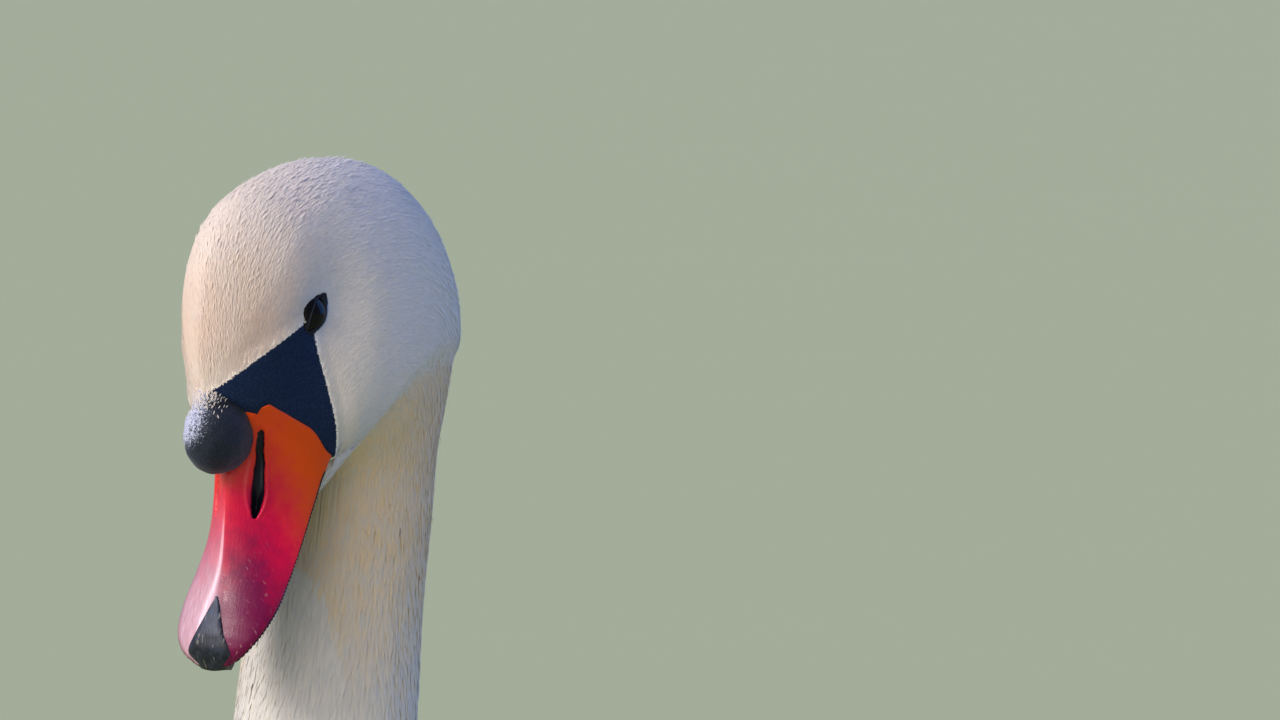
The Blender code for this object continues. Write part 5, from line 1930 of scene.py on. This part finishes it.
@dataclass
class Wings:
    """Both folded wings, every feather modelled, over a thin core."""

    rows: int = 150
    cols: int = 60
    thin: float = 0.62    # share of the wing's thickness under the feathers
    blunt: int = 19       # rows at the tip where the core stops short of the feathers
    plumage: Plumage = Plumage(name="wing_feathers", barbs=60.0, shaft=0.10)
    skin: Skin = Skin(name="wing_skin")
    flight: Vane = Vane(rows=14, cols=7, wander=0.012, tilt=0.02, root=0.45, widest=0.35,
                        tip=0.20)
    broad: Vane = Vane(rows=9, cols=7, wander=0.03, tilt=0.03, fall=0.13, widest=0.55, tip=0.35)
    small: Vane = Vane(rows=6, cols=5, wander=0.08, tilt=0.05, fall=0.18, widest=0.55, tip=0.30)
    # Tracts from the tip forward. The first three are flight feathers, the rest broad
    # coverts: number, u from and to, v from and to, heading from and to, length, width,
    # height of root and of tip.
    tracts: tuple[tuple[float, ...], ...] = (
        (9, 0.59, 0.67, 0.84, 0.20, 5, 1, 0.228, 0.028, 0.0010, 0.0035),
        (9, 0.42, 0.50, 0.96, 0.62, -10, -5, 0.200, 0.036, 0.0025, 0.0060),
        (8, 0.44, 0.50, 0.62, 0.10, -5, 4, 0.215, 0.040, 0.0040, 0.0090),
        (14, 0.30, 0.42, 0.97, 0.10, -8, 2, 0.120, 0.036, 0.0035, 0.0095),
        (14, 0.24, 0.34, 0.98, 0.08, -7, 1, 0.085, 0.032, 0.0045, 0.0095),
        (16, 0.19, 0.27, 0.97, 0.06, -5, 0, 0.065, 0.028, 0.0045, 0.0095),
        (9, 0.30, 0.52, 0.03, 0.12, 6, 3, 0.105, 0.034, 0.0045, 0.0095),
    )
    flights: int = 3

    def surface(self, thin: float, off: float) -> Array:
        """The left wing's outside: the trunk's own sections, lifted by a thickness that
        swells in mid width.

        Args:
            thin: share of the thickness that is kept.
            off: clearance from the trunk.

        Returns:
            Points from front to tip and from the upper edge to the lower, shape (rows,
            columns, 3).
        """
        y = np.linspace(WING[0, 0], WING[-1, 0], self.rows)
        top, bottom, thick = along_table(y[:, None], WING)
        share = np.linspace(0, 1, self.cols)[None, :]
        around, sections = np.radians(top + (bottom - top) * share), self.form(y)
        swell = 0.05 + 0.95 * np.clip(np.sin(pi * share), 0, 1) ** 0.7
        base = ring(sections, around)
        away = unit(ring(sections, around, 0.01) - base)
        return base + away * (off + thin * thick * swell)[..., None]

    def form(self, y: Array) -> Array:
        """Sections that the wing lies on: the trunk's own, then the rump's behind it."""
        end = RUMP[0, 0]
        place = np.interp(-(np.minimum(y, end) + SHIFT_Y), -TUBE[TRUNK_Y, 0], ALONG[TRUNK_Y])
        z, up, width = along_table(np.maximum(y, end), RUMP)
        rump = np.stack([y + SHIFT_Y, z, 0 * y, up, up, width, 0 * y + 2, 0 * y + 2], axis=1)
        return np.where((y > end)[:, None], rump, smooth(place, ALONG, TUBE))

    def build(self) -> None:
        """Makes core and feathers of each wing, with other random draws for the right."""
        parts = ("shoulder", "coverts", "secondaries", "tip")
        for word, seed in (("left", 200), ("right", 300)):
            core, feathers = self.core(), self.feathers(seed)
            if word == "right":
                core, feathers = core.mirrored(), feathers.mirrored()
            nodes = (f"wing_{word}_{part}" for part in parts)
            core.made(f"wing_core_{word}", self.skin, Slot.QUILLS, *nodes)
            feathers.made(f"wing_feathers_{word}", self.plumage, Slot.QUILLS)

    def core(self) -> Fabric:
        """A closed thin shell under the feathers."""
        outer, inner = (self.surface(thin, off)[:-self.blunt]
                        for thin, off in ((self.thin, 0.0010), (0.0, -0.003)))
        rows = np.concatenate([outer, inner[:, ::-1]], axis=1)
        return Fabric().shell(rows, tone=np.zeros_like)

    def feathers(self, seed: int) -> Fabric:
        """Lays the wing's tracts, each from its own line of roots: long flight feathers
        first, then broad coverts, small coverts in rows from the front edge back, and broad
        ones along the upper edge."""
        lattice, fabric = Lattice(self.surface(self.thin, 0.0012), False), Fabric()
        rng = np.random.default_rng(seed)
        for number, (count, ua, ub, va, vb, ha, hb, *sizes) in enumerate(self.tracts):
            t = np.linspace(0, 1, count)
            length, width, low, high = sizes
            form = self.flight if number < self.flights else self.broad
            u, v = ua + (ub - ua) * t + rng.normal(0, 0.004, count), va + (vb - va) * t
            bed, stack = Bed(lattice, form, u, v, -(ha + (hb - ha) * t), 1.0), 0.0012 * t
            bed.lay(fabric, length, width, low + stack, high + stack, seed + number)
        for row in range(11):
            count, size = 10 + row, 0.55 + 0.045 * row
            v = np.clip((np.arange(count) + 0.5 * (row % 2) + 0.25) / count, 0.02, 0.985)
            u = 0.012 + 0.019 * row + rng.normal(0, 0.003, count)
            Bed(lattice, self.small, u, v, -3.0, 1.0).lay(
                fabric, 0.058 * size, 0.031 * size, 0.003, 0.0085, seed + 30 + row)
        for row in range(9):
            v = 0.015 + 0.055 * np.arange(4) + rng.normal(0, 0.006, 4)
            u = 0.10 + 0.045 * row + rng.normal(0, 0.006, 4)
            Bed(lattice, self.broad, u, np.clip(v, 0, 1), 5.0, 1.0).lay(
                fabric, 0.070, 0.032, 0.005, 0.0105, seed + 60 + row)
        return fabric


@dataclass
class Tail:
    """Wedge of tail feathers with their coverts above and below."""

    quills: int = 11
    fan: float = 5.0       # degrees that the outer quills turn out
    blunt: int = 14        # rows at the tip where the core stops short of the quills
    coverts: int = 330
    quill: Vane = Vane(rows=14, cols=7, wander=0.01, tilt=0.02, fall=0.06, widest=0.5, tip=0.25)
    cover: Vane = Vane(rows=7, cols=5, wander=0.07, tilt=0.05, fall=0.15, widest=0.55, tip=0.3)

    def shell(self, thin: float, narrow: float) -> Array:
        """The tail's own ellipses, thinned and narrowed by shares."""
        y, turn = np.linspace(TAIL[0, 0], TAIL[-1, 0], 90)[:, None], full_turn(80)
        z, thick, width = along_table(y, TAIL)
        x = width * narrow * np.cos(turn)
        return np.stack([x, y + SHIFT_Y + 0 * turn, z + thick * thin * np.sin(turn)], axis=-1)

    def build(self) -> None:
        """Makes the tail's core, a fan of quills above and below it, and their coverts."""
        core = Fabric().shell(self.shell(0.45, 0.82)[:-self.blunt], tone=np.zeros_like)
        core.made("tail_core", Wings.skin, Slot.QUILLS, "tail")
        lattice, fabric = Lattice(self.shell(0.55, 0.86)), Fabric()
        t = np.linspace(-1, 1, self.quills)
        length, stack = 0.215 - 0.085 * np.abs(t) ** 1.3, 1 - np.abs(t)
        for middle, seed in ((0.25, 401), (0.75, 402)):
            bed = Bed(lattice, self.quill, 0.02 + 0 * t, middle + t * 0.185, -self.fan * t, 1.0)
            bed.lay(fabric, length, 0.034, 0.0006 + 0.0006 * stack, 0.0012 + 0.0010 * stack, seed)
        front = np.linspace(1, 0, lattice.rows)[:, None] > 0.50
        u, v = lattice.scatter(self.coverts, front, 403)
        Bed(lattice, self.cover, u * 0.98, v, onward=1.0).lay(
            fabric, length=0.046, width=0.021, low=0.0010, high=0.0070, seed=404)
        fabric.made("tail_feathers", Wings.plumage, Slot.QUILLS)


@dataclass
class Legs:
    """Bare shanks, webbed feet, hind toes and claws."""

    heel: float = 0.015
    scallop: float = 0.017
    joint: float = 0.0155
    scute: float = 0.0002
    # Reach of the foot by degrees out from straight ahead, webs at their full span.
    spread: tuple[tuple[float, float], ...] = (
        (-38, 0.062), (-27, 0.098), (-1, 0.134), (26, 0.124), (37, 0.074),
    )

    def build(self) -> None:
        """Makes the left leg's pieces and mirrors them."""
        toes = ("inner", "middle", "outer", "hind")
        pieces = self.shank(), self.foot(), self.hind(), self.claws()
        for word in ("left", "right"):
            if word == "right":
                pieces = tuple(piece.mirrored() for piece in pieces)
            shank, foot, hind, claws = pieces
            shank.made(f"scaled_shank_{word}", LegSkin(), Slot.BLACK, f"shank_{word}")
            foot.made(f"webbed_foot_{word}", LegSkin(), Slot.BLACK, f"foot_{word}")
            hind.made(f"back_toe_{word}", LegSkin(), Slot.BLACK, f"hind_toe_{word}")
            nodes = (f"claw_{word}_{toe}" for toe in toes)
            claws.made(f"claws_{word}", DarkHorn(), Slot.DARK, *nodes)

    def shank(self) -> Fabric:
        """Ellipses up the shank, knobbly at both joints, with broad scutes down its front."""
        z, turn = np.linspace(SHANK_FOOT - 0.001, SHANK[-1, 0], 150)[:, None], full_turn(56)
        width, length = along_table(np.clip(z, SHANK[0, 0], SHANK[-1, 0]), SHANK)
        scute = np.abs(np.sin(z * pi / 0.0052)) ** 0.5 * np.clip(-np.sin(turn), 0, 1) ** 2
        grow = 0.0003 * scute
        y = FOOT_Y + LEG_LEAN * (z - SHANK_FOOT) / (SHANK_TOP - SHANK_FOOT)
        x, y = FOOT_X + (width + grow) * np.cos(turn), y + (length + grow) * np.sin(turn)
        return Fabric().shell(np.stack([x, y, z + 0 * turn], axis=-1), scute)

    def outline(self, angle: Array) -> Array:
        """Reach of the foot from its joint by direction: toes, scalloped webs and the heel."""
        heel = self.heel
        table = np.array([(-180, heel), (-62, heel), *self.spread, (60, heel), (180, heel)])
        base = np.interp(angle, *table.T)
        for (a, *_), (b, *_) in zip(TOES, TOES[1:]):
            base = base - self.scallop * np.sin(pi * np.clip((angle - a) / (b - a), 0, 1))
        return base

    def height(self, x: Array, y: Array) -> tuple[Array, Array]:
        """Height of the foot's upper side and its scutes.

        The web is flat, each toe is a half-round ridge with three knuckles that gets lower
        and narrower toward its end, and the joint is a squared dome.

        Args:
            x: place out from the joint.
            y: place ahead of it.

        Returns:
            Height and share of scutes.
        """
        height, scute = np.full_like(x, WEB), np.zeros_like(x)
        for degrees, length, root in TOES:
            c, s = cos(radians(degrees)), sin(radians(degrees))
            along, aside = y * c + x * s, x * c - y * s
            t = np.clip(along / length, 0, 1)
            knuckle = 1 + 0.10 * np.cos(2 * pi * t * 3.0)
            tall = (root - 0.0045 * t - WEB) * (0.93 + 0.07 * knuckle)
            half = 0.0072 - 0.0022 * t
            toe = np.sqrt(np.clip(1 - (aside / half) ** 2, 0, 1)) * ease(along, -0.012, 0.004)
            height = np.maximum(height, WEB + tall * toe)
            scute = np.maximum(scute, np.abs(np.sin(along * pi / 0.0034)) ** 0.5 * toe)
        dome = SHANK_FOOT * np.sqrt(np.clip(1 - (np.hypot(x, y) / self.joint) ** 4, 0, 1))
        return np.maximum(height, dome) + self.scute * scute, scute

    def foot(self) -> Fabric:
        """Webbed foot: a height field in rings about its joint over a flat sole."""
        angle = np.concatenate([np.linspace(a, b, count, endpoint=False) for a, b, count in
                                ((-180, -60, 24), (-60, 60, 240), (60, 180, 24))])
        reach, share = self.outline(angle)[None, :], np.linspace(0.03, 1, 70)[:, None]
        angle = np.radians(angle)[None, :]
        x, y = share * reach * np.sin(angle), share * reach * np.cos(angle)
        top, scute = self.height(x, y)
        rim = ease(share, 0.965, 1.0)
        top = top * (1 - rim) + np.minimum(top, WEB * 0.8) * rim
        upper = np.stack([*self.to_world(x, y), top], axis=-1)
        sole = upper[::-1] * (1, 1, 0)
        points = np.concatenate([upper, sole[:1], sole[1:][:-1][::8]])
        flesh = np.concatenate([scute, np.zeros((len(points) - len(scute), scute.shape[1]))])
        return Fabric().shell(points, flesh)

    def to_world(self, out: Array, ahead: Array) -> tuple[Array, Array]:
        """x and y of a place on the left foot, given out from and ahead of its joint."""
        c, s = cos(FOOT_TURN), sin(FOOT_TURN)
        return FOOT_X + out * c + ahead * s, FOOT_Y - ahead * c + out * s

    def hind(self) -> Fabric:
        """The short hind toe, sloping down behind the shank, with scutes on top."""
        t, turn = np.linspace(0, 1, 26)[:, None], full_turn(28)
        size = np.interp(t, [0, 0.3, 0.7, 1], [0.9, 1.0, 0.9, 0.6])
        points = np.stack([FOOT_X + 0.0042 * size * np.cos(turn),
                           FOOT_Y + 0.0160 + 0.0185 * t + 0 * turn,
                           0.0270 - 0.0105 * t**1.6 + 0.0048 * size * np.sin(turn)], axis=-1)
        return Fabric().shell(points, np.abs(np.sin(t * pi * 5)) * np.clip(np.sin(turn), 0, 1))

    def claws(self) -> Fabric:
        """Four curved claws: round sections that shrink along a falling line."""
        fabric = Fabric()
        share, turn = np.linspace(0, 1, 20)[:, None], full_turn(20)
        for degrees, length, _ in TOES:
            c, s = cos(radians(degrees)), sin(radians(degrees))
            ahead = length - 0.002 + (CLAW + 0.002) * share
            thick = 0.0036 * (1 - 0.86 * share**1.6)
            across = thick * 0.8 * np.cos(turn)
            place = self.to_world(ahead * s + across * c, ahead * c - across * s)
            height = 0.0048 - 0.0026 * share**2 + thick * np.sin(turn)
            fabric.shell(np.stack([*place, height], axis=-1))
        thick = 0.0026 * (1 - 0.8 * share)
        return fabric.shell(np.stack([FOOT_X + thick * np.cos(turn),
                                      FOOT_Y + 0.0345 + 0.009 * share + 0 * turn,
                                      0.0155 - 0.0065 * share + thick * np.sin(turn)], axis=-1))


def main() -> None:
    """Builds camera, studio and every sub-assembly in order, and logs each piece."""
    logging.basicConfig(level=logging.INFO, format="%(name)s %(message)s")
    for part in (Camera(), Studio(), Flesh(), Bill(), Knob(), Eye(), Plume(), Wings(), Tail(),
                 Legs()):
        LOG.info("building %s", type(part).__name__)
        part.build()


if __name__ == "__main__":
    main()
